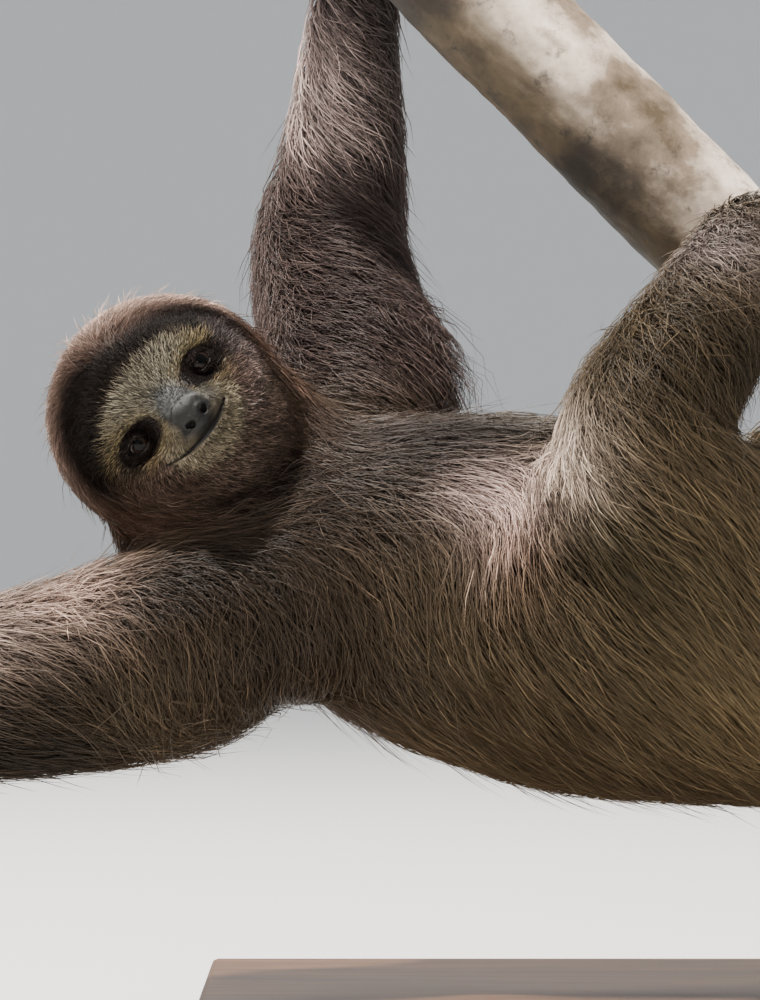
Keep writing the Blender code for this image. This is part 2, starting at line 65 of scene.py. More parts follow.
# ------------------------------------------------------------ the animal's own lines
# Each path is a row of (centre, radius), in metres. Limbs run from the trunk outwards.
TRUNK = (((-0.181, 0.0, 0.199), 0.063), ((-0.118, 0.0, 0.188), 0.0775),
         ((-0.067, 0.0, 0.179), 0.0805), ((0.0, 0.0, 0.172), 0.0775),
         ((0.050, 0.0, 0.1685), 0.072), ((0.086, 0.0, 0.166), 0.0655),
         ((0.1165, 0.0, 0.164), 0.050))
NECK = (((-0.176, 0.0, 0.200), 0.059), ((-0.1975, 0.0, 0.219), 0.0525),
        ((-0.2205, -0.005, 0.241), 0.048))
TAIL = (((0.118, 0.0, 0.156), 0.027), ((0.143, 0.0, 0.145), 0.019), ((0.160, 0.0, 0.136), 0.0135))
ARM_RIGHT = (((-0.208, -0.045, 0.171), 0.043), ((-0.246, -0.052, 0.163), 0.045),
             ((-0.278, -0.057, 0.155), 0.044), ((-0.315, -0.062, 0.148), 0.0395),
             ((-0.347, -0.065, 0.1435), 0.037), ((-0.377, -0.090, 0.156), 0.033),
             ((-0.410, -0.120, 0.177), 0.027), ((-0.439, -0.140, 0.1955), 0.0205),
             ((-0.459, -0.148, 0.209), 0.019), ((-0.4745, -0.150, 0.220), 0.0155))
ARM_LEFT = (((-0.1725, 0.055, 0.244), 0.043), ((-0.175, 0.110, 0.293), 0.041),
            ((-0.183, 0.165, 0.3415), 0.038), ((-0.1765, 0.157, 0.378), 0.0315),
            ((-0.1735, 0.140, 0.4215), 0.0255), ((-0.170, 0.112, 0.467), 0.0210),
            ((-0.180, 0.080, 0.520), 0.0175))
LEG_RIGHT = (((0.0275, -0.045, 0.1715), 0.062), ((-0.0115, -0.072, 0.1975), 0.043),
             ((-0.0545, -0.082, 0.246), 0.037), ((-0.0305, -0.055, 0.2905), 0.033),
             ((-0.005, -0.025, 0.327), 0.028), ((0.008, 0.010, 0.352), 0.020))
LEG_LEFT = (((0.0355, 0.045, 0.1695), 0.063), ((0.032, 0.105, 0.194), 0.046),
            ((0.0245, 0.155, 0.225), 0.037), ((0.049, 0.125, 0.2515), 0.032),
            ((0.069, 0.089, 0.272), 0.027), ((0.070, 0.050, 0.305), 0.020))
BRANCH = (((-0.222, 0.065, 0.547), 0.0290), ((-0.175, 0.060, 0.499), 0.0287),
          ((-0.082, 0.048, 0.405), 0.0286), ((0.0005, 0.035, 0.321), 0.0287),
          ((0.0365, 0.032, 0.292), 0.0290), ((0.068, 0.030, 0.278), 0.0292),
          ((0.117, 0.030, 0.2665), 0.0292), ((0.196, 0.030, 0.260), 0.0290),
          ((0.2215, 0.030, 0.2585), 0.0290))
HEAD_CENTRE = Vector((-0.2474, -0.030, 0.2608))
HEAD_RADIUS = 0.0525
# The head's own directions: where the face looks, the animal's left, and up to its crown.
GAZE = Vector((0.065, -0.994, 0.085)).normalized()
HEAD_TILT = Vector((0.61, 0.0, 0.79))
LEFT = (HEAD_TILT - HEAD_TILT.project(GAZE)).normalized()
CROWN = GAZE.cross(LEFT).normalized()

# ------------------------------------------------------------ sizes of the skin and the coat
SKIN_VOXEL = 0.0034          # of the remesh that makes the CAD nodes one form
FACE_DEPTH = 0.0020          # of the short coat of the face
SEAM_GROWTH = 0.0013         # closes the thin cuts between the CAD parts
SKIN_ROUNDS = 14             # of smoothing over that form
# How far round the face, the eyes and the muzzle the skin is divided finer.
FACE_FINE = 0.046
FACE_FINER = 0.036
EYE_FINEST = 0.0125
MUZZLE_FINEST = 0.0235
UV_PATCH = 0.003             # how wide a tuft is on the OFBake map

EYE_OPENING = (0.0054, 0.0030)       # half width and half height between the lids
LID_THICKNESS = 0.0007
NOSE_LEAN = 0.0006           # of the nose's middle line to the animal's left
NOSTRIL_SPREAD = 0.0038
NOSTRIL_DROP = 0.0135
MOUTH_DROP = 0.0202
MOUTH_LEAN = -0.0015
MOUTH_CURL = 14.0            # rise of the mouth towards its corners, per metre of width squared
MOUTH_LEFT_END = 0.0146
MOUTH_RIGHT_END = -0.0205
PATCH_MIDDLE = 0.0207        # the dark patch round each eye
PATCH_DROP = 0.0008          # of the patch under the eye's middle
PATCH_HALF = (0.0120, 0.0106, 0.0079)    # towards the nose, away from it, and up or down
EYE_NUDGE = {"left": (0.0, 0.0), "right": (0.0009, -0.0011)}    # from the CAD eyes, across and up
MASK_HALF = (0.0328, 0.0205)             # the pale mask of the forehead
FACE_HALF = (0.0425, 0.0325)             # the short-haired face above the eyes, inside the hood
JAW_LEAN = 0.004
JAW_HALF = (0.044, 0.0565)               # the short-haired jaw and throat, below the eyes
# The fold between the jaw and the neck, where painted shade lies. The folds are paths too, without a radius.
JAW_FOLD = (((-0.196, -0.052, 0.240), 0.0), ((-0.2004, -0.056, 0.2333), 0.0),
            ((-0.2117, -0.059, 0.225), 0.0), ((-0.2307, -0.061, 0.2204), 0.0),
            ((-0.2420, -0.061, 0.2159), 0.0), ((-0.2564, -0.056, 0.2136), 0.0),
            ((-0.2663, -0.048, 0.2174), 0.0))
# The left cheek's light speckles, in the head's own directions.
SPECKLE_LINE = (((0.035, -0.011, -0.012), 0.0), ((0.029, -0.019, 0.0), 0.0), ((0.022, -0.025, 0.004), 0.0))
# The fold between the belly and the thigh, pressed into the skin and lined with painted shade.
GROIN_FOLD = (((-0.0885, -0.055, 0.262), 0.0), ((-0.0905, -0.070, 0.2500), 0.0),
              ((-0.0955, -0.080, 0.230), 0.0), ((-0.1035, -0.086, 0.209), 0.0),
              ((-0.1200, -0.086, 0.186), 0.0))
FOLD_DEPTH = 0.0062
FOLD_WIDTH = 0.0058
THIGH_SWELL = 0.0024
ARMPIT = ((-0.2018, -0.030, 0.136), (0.019, 0.070, 0.026))     # middle and reach each way
ARMPIT_RISE = 0.0095


def linear(red, green, blue):
    """A colour given as 0-255 display values, in the renderer's linear values."""
    values = np.array((red, green, blue)) / 255.0
    return np.where(values <= 0.04045, values / 12.92, ((values + 0.055) / 1.055) ** 2.4)


def unit(vectors):
    return vectors / np.maximum(np.linalg.norm(vectors, axis=-1, keepdims=True), 1e-12)


def smoothstep(low, high, values):
    t = np.clip((values - low) / (high - low), 0.0, 1.0)
    return t * t * (3.0 - 2.0 * t)


def bell(values):
    """1 at zero, falling off softly on both sides."""
    return np.exp(-(values**2))


def nearness(points, middle, reach):
    """1 at a place, falling off softly with the distance from it."""
    return bell(np.linalg.norm(points - np.array(middle), axis=1) / reach)


# ------------------------------------------------------------ meshes
def linked(name, data):
    ob = bpy.data.objects.new(name, data)
    bpy.context.scene.collection.objects.link(ob)
    return ob


def new_object(name, mesh, slot, *replaced):
    """A piece of the model, with the CAD nodes that it replaces; slot is not used."""
    ob = linked(name, mesh)
    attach(ob, "root")
    if replaced:
        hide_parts(*replaced)
    return ob


def mesh_from_arrays(name, points, corners, sizes):
    """A mesh from vertex places, one flat row of corner indices and the size of each face."""
    mesh = bpy.data.meshes.new(name)
    mesh.vertices.add(len(points))
    mesh.vertices.foreach_set("co", np.asarray(points, np.float32).ravel())
    mesh.loops.add(len(corners))
    mesh.loops.foreach_set("vertex_index", np.asarray(corners, np.int32))
    starts = np.concatenate(((0,), np.cumsum(sizes)[:-1]))
    mesh.polygons.add(len(sizes))
    mesh.polygons.foreach_set("loop_start", starts.astype(np.int32))
    mesh.update(calc_edges=True)
    mesh.validate()
    return mesh


def mesh_of(form, name):
    mesh = bpy.data.meshes.new(name)
    form.to_mesh(mesh)
    form.free()
    return mesh


def read_rows(items, field, width, kind=np.float32):
    found = np.empty(len(items) * width, kind)
    items.foreach_get(field, found)
    return found.reshape(-1, width)


def tube_faces(rings, sides):
    """Corners and sizes of the faces between rings of places. They are turned outwards where
    each ring runs clockwise as seen from the last one."""
    corners = []
    for ring in range(rings - 1):
        for side in range(sides):
            low, after = ring * sides, (side + 1) % sides
            high = low + sides
            corners += [low + side, high + side, high + after, low + after]
    return corners, [4] * (len(corners) // 4)


def points_of(mesh):
    return read_rows(mesh.vertices, "co", 3).astype(float)


def normals_of(mesh):
    return read_rows(mesh.vertex_normals, "vector", 3).astype(float)


def edges_of(mesh):
    return read_rows(mesh.edges, "vertices", 2, np.int32)


def place_points(mesh, points):
    mesh.vertices.foreach_set("co", points.astype(np.float32).ravel())
    mesh.update()


def paint(mesh, colours):
    """Gives each vertex its colour, in the attribute that the materials read."""
    layer = mesh.color_attributes.new("tone", "FLOAT_COLOR", "POINT")
    rgba = np.ones((len(colours), 4), np.float32)
    rgba[:, :3] = colours
    layer.data.foreach_set("color", rgba.ravel())
    mesh.color_attributes.active_color = layer


def shade_smooth(mesh):
    mesh.polygons.foreach_set("use_smooth", np.ones(len(mesh.polygons), bool))
    mesh.update()


def neighbour_mean(values, edges, count):
    """The mean of each vertex's neighbours, for a row of vectors."""
    first = np.concatenate((edges[:, 0], edges[:, 1]))
    second = np.concatenate((edges[:, 1], edges[:, 0]))
    degree = np.maximum(np.bincount(first, minlength=count), 1)
    sums = [np.bincount(first, weights=values[second, k], minlength=count)
            for k in range(values.shape[1])]
    return np.stack(sums, axis=1) / degree[:, None]


def relaxed(values, edges, rounds, strength=0.5, back=0.0):
    """Smooths values over a mesh; a negative back step keeps the form from shrinking."""
    for _ in range(rounds):
        values = values + strength * (neighbour_mean(values, edges, len(values)) - values)
        if back:
            values = values + back * (neighbour_mean(values, edges, len(values)) - values)
    return values


def evaluated_mesh(ob):
    """The mesh that an object's modifiers make."""
    graph = bpy.context.evaluated_depsgraph_get()
    return bpy.data.meshes.new_from_object(ob.evaluated_get(graph))


# ------------------------------------------------------------ where a point is on the animal
def measure(points, path):
    """For each point: how far it is outside a path of centres and radii, how far along
    the path it lies from 0 to 1, and the path's direction there."""
    best = np.full(len(points), 1e9)
    share = np.zeros(len(points))
    direction = np.zeros((len(points), 3))
    centres = np.array([centre for centre, radius in path])
    radii = np.array([radius for centre, radius in path])
    lengths = np.linalg.norm(np.diff(centres, axis=0), axis=1)
    reached = np.concatenate(((0.0,), np.cumsum(lengths)))
    for index, length in enumerate(lengths):
        start, step = centres[index], centres[index + 1] - centres[index]
        t = np.clip((points - start) @ step / length**2, 0.0, 1.0)
        away = np.linalg.norm(points - start - t[:, None] * step, axis=1)
        away -= radii[index] + t * (radii[index + 1] - radii[index])
        closer = away < best
        best[closer] = away[closer]
        share[closer] = (reached[index] + t[closer] * length) / reached[-1]
        direction[closer] = step / length
    return best, share, direction


def head_places(points):
    """Places in the head's own directions, in metres from the middle between the eyes."""
    middle = np.array(HEAD_CENTRE + CROWN * EYE_RISE + GAZE * EYE_FORWARD)
    return (points - middle) @ np.array((LEFT, CROWN, GAZE)).T


def box_middle(node):
    low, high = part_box(node)
    return (Vector(low) + Vector(high)) / 2


def box_size(node):
    low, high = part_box(node)
    return Vector(high) - Vector(low)


EYES = {side: box_middle("eye_" + side) + LEFT * across + CROWN * rise
        for side, (across, rise) in EYE_NUDGE.items()}
EYE_RADIUS = sum(box_size("eye_left")) / 6
EYE_MIDDLE = (EYES["left"] + EYES["right"]) / 2
EYE_RISE = (EYE_MIDDLE - HEAD_CENTRE).dot(CROWN)
EYE_FORWARD = (EYE_MIDDLE - HEAD_CENTRE).dot(GAZE)
EYE_TURN = 0.32              # how far each eye looks to its own side


class Part:
    """One stretch of the body, with the coat it carries."""

    def __init__(self, path, flow, along, depth, length, width, colour,
                 clump=0.5, wander=0.12, density=1.0, light=0.10):
        self.path = path
        self.flow = np.array(flow, float)
        self.along = along
        self.numbers = np.array((depth, length, width, clump, wander, density, light))
        self.colour = linear(*colour)


# flow is a direction in the world, and along is how much the hair runs out along the limb.
# Depth, length and width are in metres. clump draws hairs together, wander turns them,
# and light is the share of lighter hairs.
PARTS = {
    "trunk": Part(TRUNK, (0.50, 0, -0.90), 0.0, 0.0075, 0.044, 0.00058, (86, 73, 54), 0.60, 0.14),
    "neck": Part(NECK, (0.85, 0, -0.25), 0.0, 0.0072, 0.040, 0.00054, (64, 51, 44), 0.65, 0.24, 1.1, 0.14),
    "tail": Part(TAIL, (0, 0, -0.35), 1.0, 0.0045, 0.022, 0.00060, (88, 75, 54), 0.4, 0.2),
    "arm_right": Part(ARM_RIGHT, (0, 0, -0.45), -1.0, 0.0066, 0.036, 0.00056, (72, 59, 44), 0.65, 0.17),
    "arm_left": Part(ARM_LEFT, (0.8, 0, -0.60), -0.2, 0.0070, 0.032, 0.00062, (84, 69, 64), 0.90, 0.34),
    "leg_right": Part(LEG_RIGHT, (0.60, 0, -0.75), -0.25, 0.0066, 0.036, 0.00056, (84, 70, 50), 0.65, 0.18),
    "leg_left": Part(LEG_LEFT, (0.4, 0, -0.75), -0.35, 0.0066, 0.038, 0.00062, (88, 75, 54), 0.6, 0.2),
}
HEAD_COAT = Part(None, (0, 0, 0), 0.0, 0.0050, 0.0090, 0.00036, (96, 76, 66), 0.70, 0.42, 2.2, 0.26)
PART_SPREAD = 0.009          # how softly one part's coat passes into the next
HEAD_SPREAD = PART_SPREAD * 0.7
# From what share of each limb's length the short coat of the hand or foot takes over.
LIMB_END = {"arm_right": 0.86, "arm_left": 0.84, "leg_right": 0.80, "leg_left": 0.80}
END_COAT = np.array((0.0042, 0.013, 0.00050, 0.3, 0.2, 2.4, 0.10))
JAW_LONGER = 0.020           # how much longer and wider the head's hair is under the jaw
JAW_WIDER = 0.00012


def head_flow(places):
    """The face's hair runs out from the nose; the hood's runs back, and down past the cheeks."""
    hood = 1 - face_mask(places)
    out = unit(places - np.array((NOSE_LEAN, -0.006, 0.014)))
    spread = 1.15 - hood + hood * 0.65 * smoothstep(0.0, 0.035, places[:, 1])
    axes = np.array((LEFT, CROWN, GAZE))
    return unit((out @ axes) * spread[:, None] - axes[1] * hood[:, None])


def body_fields(points):
    """The coat's numbers, flow and base colour at each point, and each part's share in them."""
    weights, numbers, flows, colours = [], [], [], []
    for name, part in PARTS.items():
        away, share, direction = measure(points, part.path)
        weights.append(np.exp(-np.abs(away) / PART_SPREAD))
        values = np.repeat(part.numbers[None], len(points), axis=0)
        if name in LIMB_END:
            end = smoothstep(LIMB_END[name] - 0.16, LIMB_END[name] + 0.06, share)[:, None]
            values = values * (1 - end) + END_COAT * end
        numbers.append(values)
        flows.append(unit(part.flow + part.along * direction))
        colours.append(np.repeat(part.colour[None], len(points), axis=0))
    places = head_places(points)
    away = np.linalg.norm(points - np.array(HEAD_CENTRE), axis=1) - HEAD_RADIUS * 0.97
    weights.append(np.exp(-np.abs(away) / HEAD_SPREAD))
    values = np.repeat(HEAD_COAT.numbers[None], len(points), axis=0)
    under_jaw = smoothstep(-0.012, -0.040, places[:, 1])
    values[:, 1] += JAW_LONGER * under_jaw
    values[:, 2] += JAW_WIDER * under_jaw
    numbers.append(values)
    flows.append(head_flow(places))
    colours.append(np.repeat(HEAD_COAT.colour[None], len(points), axis=0))
    weights = np.stack(weights)
    weights[-1] *= 1 + 8 * face_mask(places) * smoothstep(0.012, 0.004, away)
    weights /= weights.sum(axis=0) + 1e-12
    mixed = [np.einsum("pn,pnk->nk", weights, np.stack(kind)) for kind in (numbers, flows, colours)]
    return shagged(points, mixed[0]), mixed[1], mixed[2], weights


# ------------------------------------------------------------ the face's own lines
def face_reach(places):
    """How far out from the middle of the short-haired face each place lies; 1 is its edge."""
    left, crown, _ = places.T
    upper = np.hypot(left / FACE_HALF[0], np.maximum(crown, 0.0) / FACE_HALF[1])
    lower = np.hypot((left - JAW_LEAN) / JAW_HALF[0], np.minimum(crown, 0.0) / JAW_HALF[1])
    return np.maximum(upper, lower)


def face_mask(places):
    """1 inside the short-haired face, 0 outside it."""
    return (1 - smoothstep(0.88, 1.08, face_reach(places))) * smoothstep(-0.042, -0.026, places[:, 2])


def mouth_line(left):
    """How high the closed mouth runs at each distance to the left."""
    return -MOUTH_DROP + MOUTH_CURL * (left - MOUTH_LEAN) ** 2


def bare_nose(places):
    """1 on the bare skin from the bridge of the nose down to the lips, which widens downwards."""
    left, crown, forward = places.T
    width = 0.0040 + 0.0060 * smoothstep(0.006, -0.004, crown) + 0.0040 * smoothstep(-0.010, -0.019, crown)
    beside = 1 - smoothstep(0.72, 1.12, np.abs(left - NOSE_LEAN) / width)
    above = 1 - smoothstep(0.003, 0.009, crown)
    below = smoothstep(-0.0022, -0.0008, crown - mouth_line(left))
    return beside * above * below * smoothstep(0.0, 0.008, forward)


def hairless(places):
    """1 where no hair grows: on the nose below its bridge, and on the upper lip."""
    return bare_nose(places) * smoothstep(0.001, -0.006, places[:, 1])


def mouth_distance(places):
    """How far each place is from the line of the mouth, and how far above it."""
    left, crown, _ = places.T
    beyond = np.maximum(left - MOUTH_LEFT_END, 0.0) + np.maximum(MOUTH_RIGHT_END - left, 0.0)
    above = crown - mouth_line(left)
    return np.hypot(above, beyond), above


def nostril_places(places):
    """How deep each place lies in a nostril, from 0 to 1."""
    left, crown, forward = places.T
    found = np.zeros(len(places))
    for sign in (1, -1):
        a = left - NOSE_LEAN - sign * NOSTRIL_SPREAD
        b = crown + NOSTRIL_DROP
        pit = np.exp(-(np.hypot(a / 0.00135, b / 0.00120) ** 4))
        tail = np.exp(-(np.hypot((a - sign * 0.0014) / 0.0009, (b - 0.0009) / 0.0008) ** 4))
        found = np.maximum(found, np.maximum(pit, tail * 0.8))
    return found * (forward > 0.006)


def eye_axes(side):
    """An eye's directions across, up and out, and 1 for the left eye or -1 for the right."""
    sign = 1 if side == "left" else -1
    out = (GAZE + LEFT * sign * EYE_TURN).normalized()
    across = (LEFT - LEFT.project(out)).normalized()
    return across, out.cross(across).normalized(), out, sign


def eye_patch(places):
    """1 in the dark patches that run from each eye to the side of the face."""
    left, crown, forward = places.T
    inward, outward, half_height = PATCH_HALF
    found = np.zeros(len(places))
    for sign in (1, -1):
        side = left * sign - PATCH_MIDDLE
        bent = crown + PATCH_DROP + 0.04 * side
        reach = np.hypot(side / np.where(side > 0, outward, inward), bent / half_height)
        found = np.maximum(found, 1 - smoothstep(0.84, 1.10, reach))
    return found * smoothstep(-0.022, -0.012, forward)


# Colours of the head's markings, and of its painted rim light, painted highlight and painted shade.
FACE_PALE = linear(106, 100, 86)
FACE_YELLOW = linear(112, 97, 64)
FACE_CHEEK = linear(76, 61, 52)
FACE_TEMPLE = linear(50, 40, 38)
CHEEK_SPECKLE = linear(190, 164, 156)
FACE_JAW = linear(92, 78, 68)
FACE_CHIN = linear(118, 108, 90)
CHIN_RIM = linear(166, 154, 128)
NOSE_BRIDGE_AND_HIGHLIGHT = linear(84, 85, 84)
NOSE_SKIN = linear(19, 18, 16)
LIP = linear(66, 59, 47)
NOSTRIL_SHADE = linear(5, 4, 4)
EYE_PATCH = linear(27, 20, 18)
CROWN_DARK = linear(25, 19, 16)
PAINTED_RIM_LIGHT = linear(204, 172, 156)
HOOD_RED = linear(86, 64, 52)
THROAT_TONE_AND_SHADE = linear(58, 46, 38)
FOLD_SHADE = linear(7, 5, 4)
LIP_LINE = linear(12, 9, 8)


def speckles(places):
    """1 on the line of light speckles down the left cheek."""
    return bell(measure(places, SPECKLE_LINE)[0] / 0.0062)


def face_colours(points, places, base, lines=True):
    """The markings of the head, with painted rim light, a painted highlight and painted shade, over the base
    colour; lines adds the mouth and the nostrils.
    """
    left, crown, forward = places.T
    colour = base.copy()

    def lay(new, amount):
        colour[:] += np.clip(amount, 0, 1)[:, None] * (new - colour)

    # The hood: a painted rim light along its front edge, stronger on one side, reddish sides and a dark band
    # over the mask.
    off = np.linalg.norm(points - np.array(HEAD_CENTRE), axis=1) - HEAD_RADIUS
    head = np.exp(-np.maximum(off, 0) / 0.006)
    front = smoothstep(-0.030, -0.018, forward)
    radius = np.hypot(left, crown)
    mask = np.hypot(left / MASK_HALF[0], crown / MASK_HALF[1])
    turned = smoothstep(-0.015, 0.012, left)
    rim = smoothstep(0.041, 0.053, radius + 0.004 * turned) * smoothstep(-0.008, 0.016, crown)
    rim *= smoothstep(-0.068, -0.048, forward)
    lay(PAINTED_RIM_LIGHT, head * rim * (0.85 - 0.50 * smoothstep(-0.024, -0.046, left)))
    side = smoothstep(0.016, -0.008, crown) * smoothstep(-0.046, -0.030, crown)
    lay(HOOD_RED, head * smoothstep(0.036, 0.044, radius) * side * 0.85)
    band = smoothstep(0.92, 1.08, mask) * (1 - smoothstep(1.70, 2.20, mask + 0.38 * turned))
    lay(CROWN_DARK, head * band * smoothstep(-0.012, 0.0, crown) * front)
    # The face: cheeks and jaw, a darker throat with painted shade at the head's lower edge, the pale mask and
    # the chin, and a yellow ring round each eye.
    face = face_mask(places)
    lay(FACE_CHEEK, face * smoothstep(0.004, -0.006, crown))
    lay(FACE_JAW, face * smoothstep(-0.018, -0.028, crown) * smoothstep(-0.022, 0.002, left) * 0.8)
    lay(THROAT_TONE_AND_SHADE, face * smoothstep(0.042, 0.053, radius) * smoothstep(-0.010, -0.030, crown))
    slope = crown + 0.0045 - 0.40 * np.maximum(np.abs(left) - 0.027, 0.0)
    pale = (1 - smoothstep(0.88, 1.04, mask)) * smoothstep(-0.006, 0.001, slope)
    lay(FACE_PALE, pale * front)
    lay(FACE_YELLOW, pale * front * smoothstep(0.014, 0.030, np.abs(left)) * 0.40)
    chin = np.hypot((left - 0.001) / 0.0215, (crown + 0.0145) / 0.0165)
    below = (1 - smoothstep(0.82, 1.06, chin)) * smoothstep(-0.010, 0.0, forward)
    lay(FACE_CHIN, below)
    lay(CHIN_RIM, below * bell((chin - 0.84) / 0.09) * smoothstep(-0.012, -0.022, crown) * 0.7)
    for sign in (1, -1):
        near = np.hypot((left * sign - PATCH_MIDDLE) / 1.35, crown + PATCH_DROP)
        ring = smoothstep(0.005, 0.0070, near) * (1 - smoothstep(0.0085, 0.0125, near))
        inner = 1 - smoothstep(0.024, 0.029, left * sign) * smoothstep(0.004, -0.002, crown)
        lay(FACE_YELLOW, ring * inner * 0.55 * front)
    temple = np.hypot((left - 0.0385) / 0.0100, (crown + 0.0030) / 0.0130)
    lay(FACE_TEMPLE, face * (1 - smoothstep(0.75, 1.15, temple)))
    lay(CHEEK_SPECKLE, face * speckles(places) * 0.30)
    lay(EYE_PATCH, eye_patch(places))
    # The nose and the upper lip, a painted highlight on the muzzle's side, and painted shade in the fold
    # under the jaw.
    bare = bare_nose(places)
    lay(NOSE_SKIN, bare)
    upper_lip = smoothstep(0.0062, 0.0030, crown - mouth_line(left))
    lay(LIP, bare * upper_lip * smoothstep(0.003, 0.010, np.abs(left)))
    bridge = np.hypot((left - NOSE_LEAN) / 0.0090, (crown - 0.0010) / 0.0074)
    lay(NOSE_BRIDGE_AND_HIGHLIGHT, np.maximum(bare, 0.6) * (1 - smoothstep(0.40, 1.30, bridge)) * 0.9)
    # A painted highlight on the muzzle, in the bridge's grey.
    shine = np.hypot((left - 0.0120) / 0.0035, (crown + 0.0095) / 0.0050)
    lay(NOSE_BRIDGE_AND_HIGHLIGHT, (1 - smoothstep(0.5, 1.2, shine)) * 0.6)
    fold = measure(points, JAW_FOLD)[0]
    lay(FOLD_SHADE, bell(fold / 0.0060) * 1.25)
    if lines:
        # Painted shade in the nostrils' pits.
        lay(NOSTRIL_SHADE, smoothstep(0.25, 0.6, nostril_places(places)))
        lips = 1 - smoothstep(0.0004, 0.0010, mouth_distance(places)[0])
        lay(LIP_LINE, lips * smoothstep(-0.010, -0.002, forward))
    return colour


# Places where the coat's tone departs from its part's, by its own markings and by painted sunlight and
# painted shade: (middle, reach, colour, strength).
# A colour past 255 is painted full sun on the hair; LIGHTEST holds each hair's own.
MARKS_AND_PAINTED_LIGHT = (
    ((-0.286, -0.085, 0.195), 0.020, (270, 230, 210), 0.95),  # painted sunlight on the shoulder's tufts
    ((-0.320, -0.095, 0.180), 0.026, (244, 212, 196), 0.88),  # painted sunlight on the upper arm's top
    ((-0.352, -0.090, 0.178), 0.026, (190, 168, 156), 0.70),
    # Painted shade on the near arm's under side.
    ((-0.345, -0.090, 0.120), 0.034, (30, 24, 17), 0.90),
    ((-0.305, -0.090, 0.142), 0.026, (50, 41, 30), 0.75),
    ((-0.290, -0.085, 0.116), 0.034, (18, 13, 8), 0.92),
    ((-0.262, -0.080, 0.150), 0.024, (84, 70, 51), 0.60),
    ((-0.283, -0.090, 0.152), 0.018, (44, 36, 25), 0.80),
    ((-0.252, -0.085, 0.188), 0.021, (34, 27, 21), 0.88),  # painted shadow of the head
    ((-0.318, -0.090, 0.150), 0.022, (66, 54, 40), 0.50),
    ((-0.225, -0.075, 0.205), 0.024, (36, 26, 22), 0.88),  # the ruff under the head: its dark hair with painted shade from the head
    ((-0.195, -0.070, 0.212), 0.026, (32, 25, 22), 0.80),
    ((-0.190, -0.078, 0.181), 0.022, (44, 35, 28), 0.60),
    ((-0.176, -0.060, 0.236), 0.022, (44, 35, 31), 0.75),
    ((-0.168, -0.030, 0.262), 0.026, (84, 72, 68), 0.60),  # behind the head
    ((-0.140, -0.045, 0.245), 0.026, (72, 62, 56), 0.60),
    ((-0.110, -0.035, 0.258), 0.018, (70, 61, 56), 0.60),
    ((-0.114, -0.070, 0.232), 0.019, (300, 262, 248), 0.99),  # painted sunlight and sheen on the sleek hair of the groin
    ((-0.095, -0.065, 0.250), 0.012, (235, 208, 194), 0.75),
    ((-0.106, -0.080, 0.208), 0.012, (150, 112, 92), 0.80),  # the reddish hair beside the fold
    # Painted sunlight on the thigh's edge beside the fold.
    ((-0.076, -0.085, 0.243), 0.017, (256, 232, 212), 0.92),
    ((-0.091, -0.092, 0.216), 0.009, (220, 192, 172), 0.70),
    ((-0.062, -0.092, 0.209), 0.020, (58, 50, 28), 0.90),  # the thigh's olive bands, its own olive with painted shade
    ((-0.030, -0.092, 0.200), 0.024, (90, 78, 52), 0.50),
    ((-0.022, -0.088, 0.231), 0.020, (62, 52, 38), 0.50),
    ((-0.060, -0.098, 0.180), 0.024, (72, 60, 41), 0.60),
    ((-0.020, -0.085, 0.130), 0.040, (140, 121, 86), 0.58),
    ((-0.100, -0.080, 0.140), 0.034, (84, 68, 46), 0.50),
    # Painted shade on the chest under the head.
    ((-0.205, -0.070, 0.160), 0.036, (50, 41, 32), 0.65),
    ((-0.150, -0.075, 0.205), 0.030, (72, 60, 48), 0.50),
    ((-0.120, -0.030, 0.262), 0.034, (48, 41, 36), 0.75),
    ((-0.134, -0.045, 0.253), 0.030, (34, 28, 26), 0.80),
    ((-0.155, -0.020, 0.262), 0.028, (58, 48, 44), 0.60),
    ((-0.020, -0.050, 0.328), 0.020, (138, 124, 120), 0.80),  # the shank's grey top
    # Painted shade in the hollow behind the knee.
    ((-0.047, -0.085, 0.268), 0.024, (28, 22, 16), 0.86),
    ((-0.026, -0.070, 0.284), 0.019, (12, 10, 8), 0.97),
    ((0.002, -0.020, 0.350), 0.018, (52, 43, 39), 0.80),
    ((-0.010, -0.060, 0.262), 0.022, (60, 50, 38), 0.50),
    ((-0.187, 0.118, 0.405), 0.027, (255, 228, 218), 0.95),  # painted sunlight on the far arm's tufts
    ((-0.186, 0.110, 0.440), 0.026, (200, 176, 170), 0.70),
    ((-0.182, 0.120, 0.370), 0.018, (120, 100, 94), 0.40),
    # Painted shade on the far arm's shaded side.
    ((-0.149, 0.125, 0.400), 0.023, (14, 12, 11), 0.97),
    ((-0.154, 0.115, 0.430), 0.024, (14, 12, 11), 0.98),
    ((-0.160, 0.100, 0.460), 0.024, (12, 10, 9), 0.98),
    ((-0.148, 0.130, 0.368), 0.018, (20, 16, 15), 0.92),
    ((-0.150, 0.110, 0.335), 0.024, (34, 28, 26), 0.80),
    ((-0.184, 0.130, 0.345), 0.028, (54, 44, 42), 0.60),
    ((-0.177, 0.075, 0.298), 0.034, (56, 45, 43), 0.55),
    ((-0.118, 0.080, 0.296), 0.012, (170, 136, 130), 0.60),  # painted sunlight on the fringe's edge
)
GROIN_SHADE = linear(40, 28, 22)


def coat_colours(points, places, base):
    """The whole coat's markings, painted sunlight and painted shade over its parts' base colours."""
    colours = base.copy()
    for middle, reach, colour, strength in MARKS_AND_PAINTED_LIGHT:
        amount = strength * nearness(points, middle, reach)
        colours += amount[:, None] * (linear(*colour) - colours)
    # Painted shade along the groin's fold.
    crease = 0.85 * bell(measure(points, GROIN_FOLD)[0] / 0.0036)
    colours += crease[:, None] * (GROIN_SHADE - colours)
    return face_colours(points, places, colours)


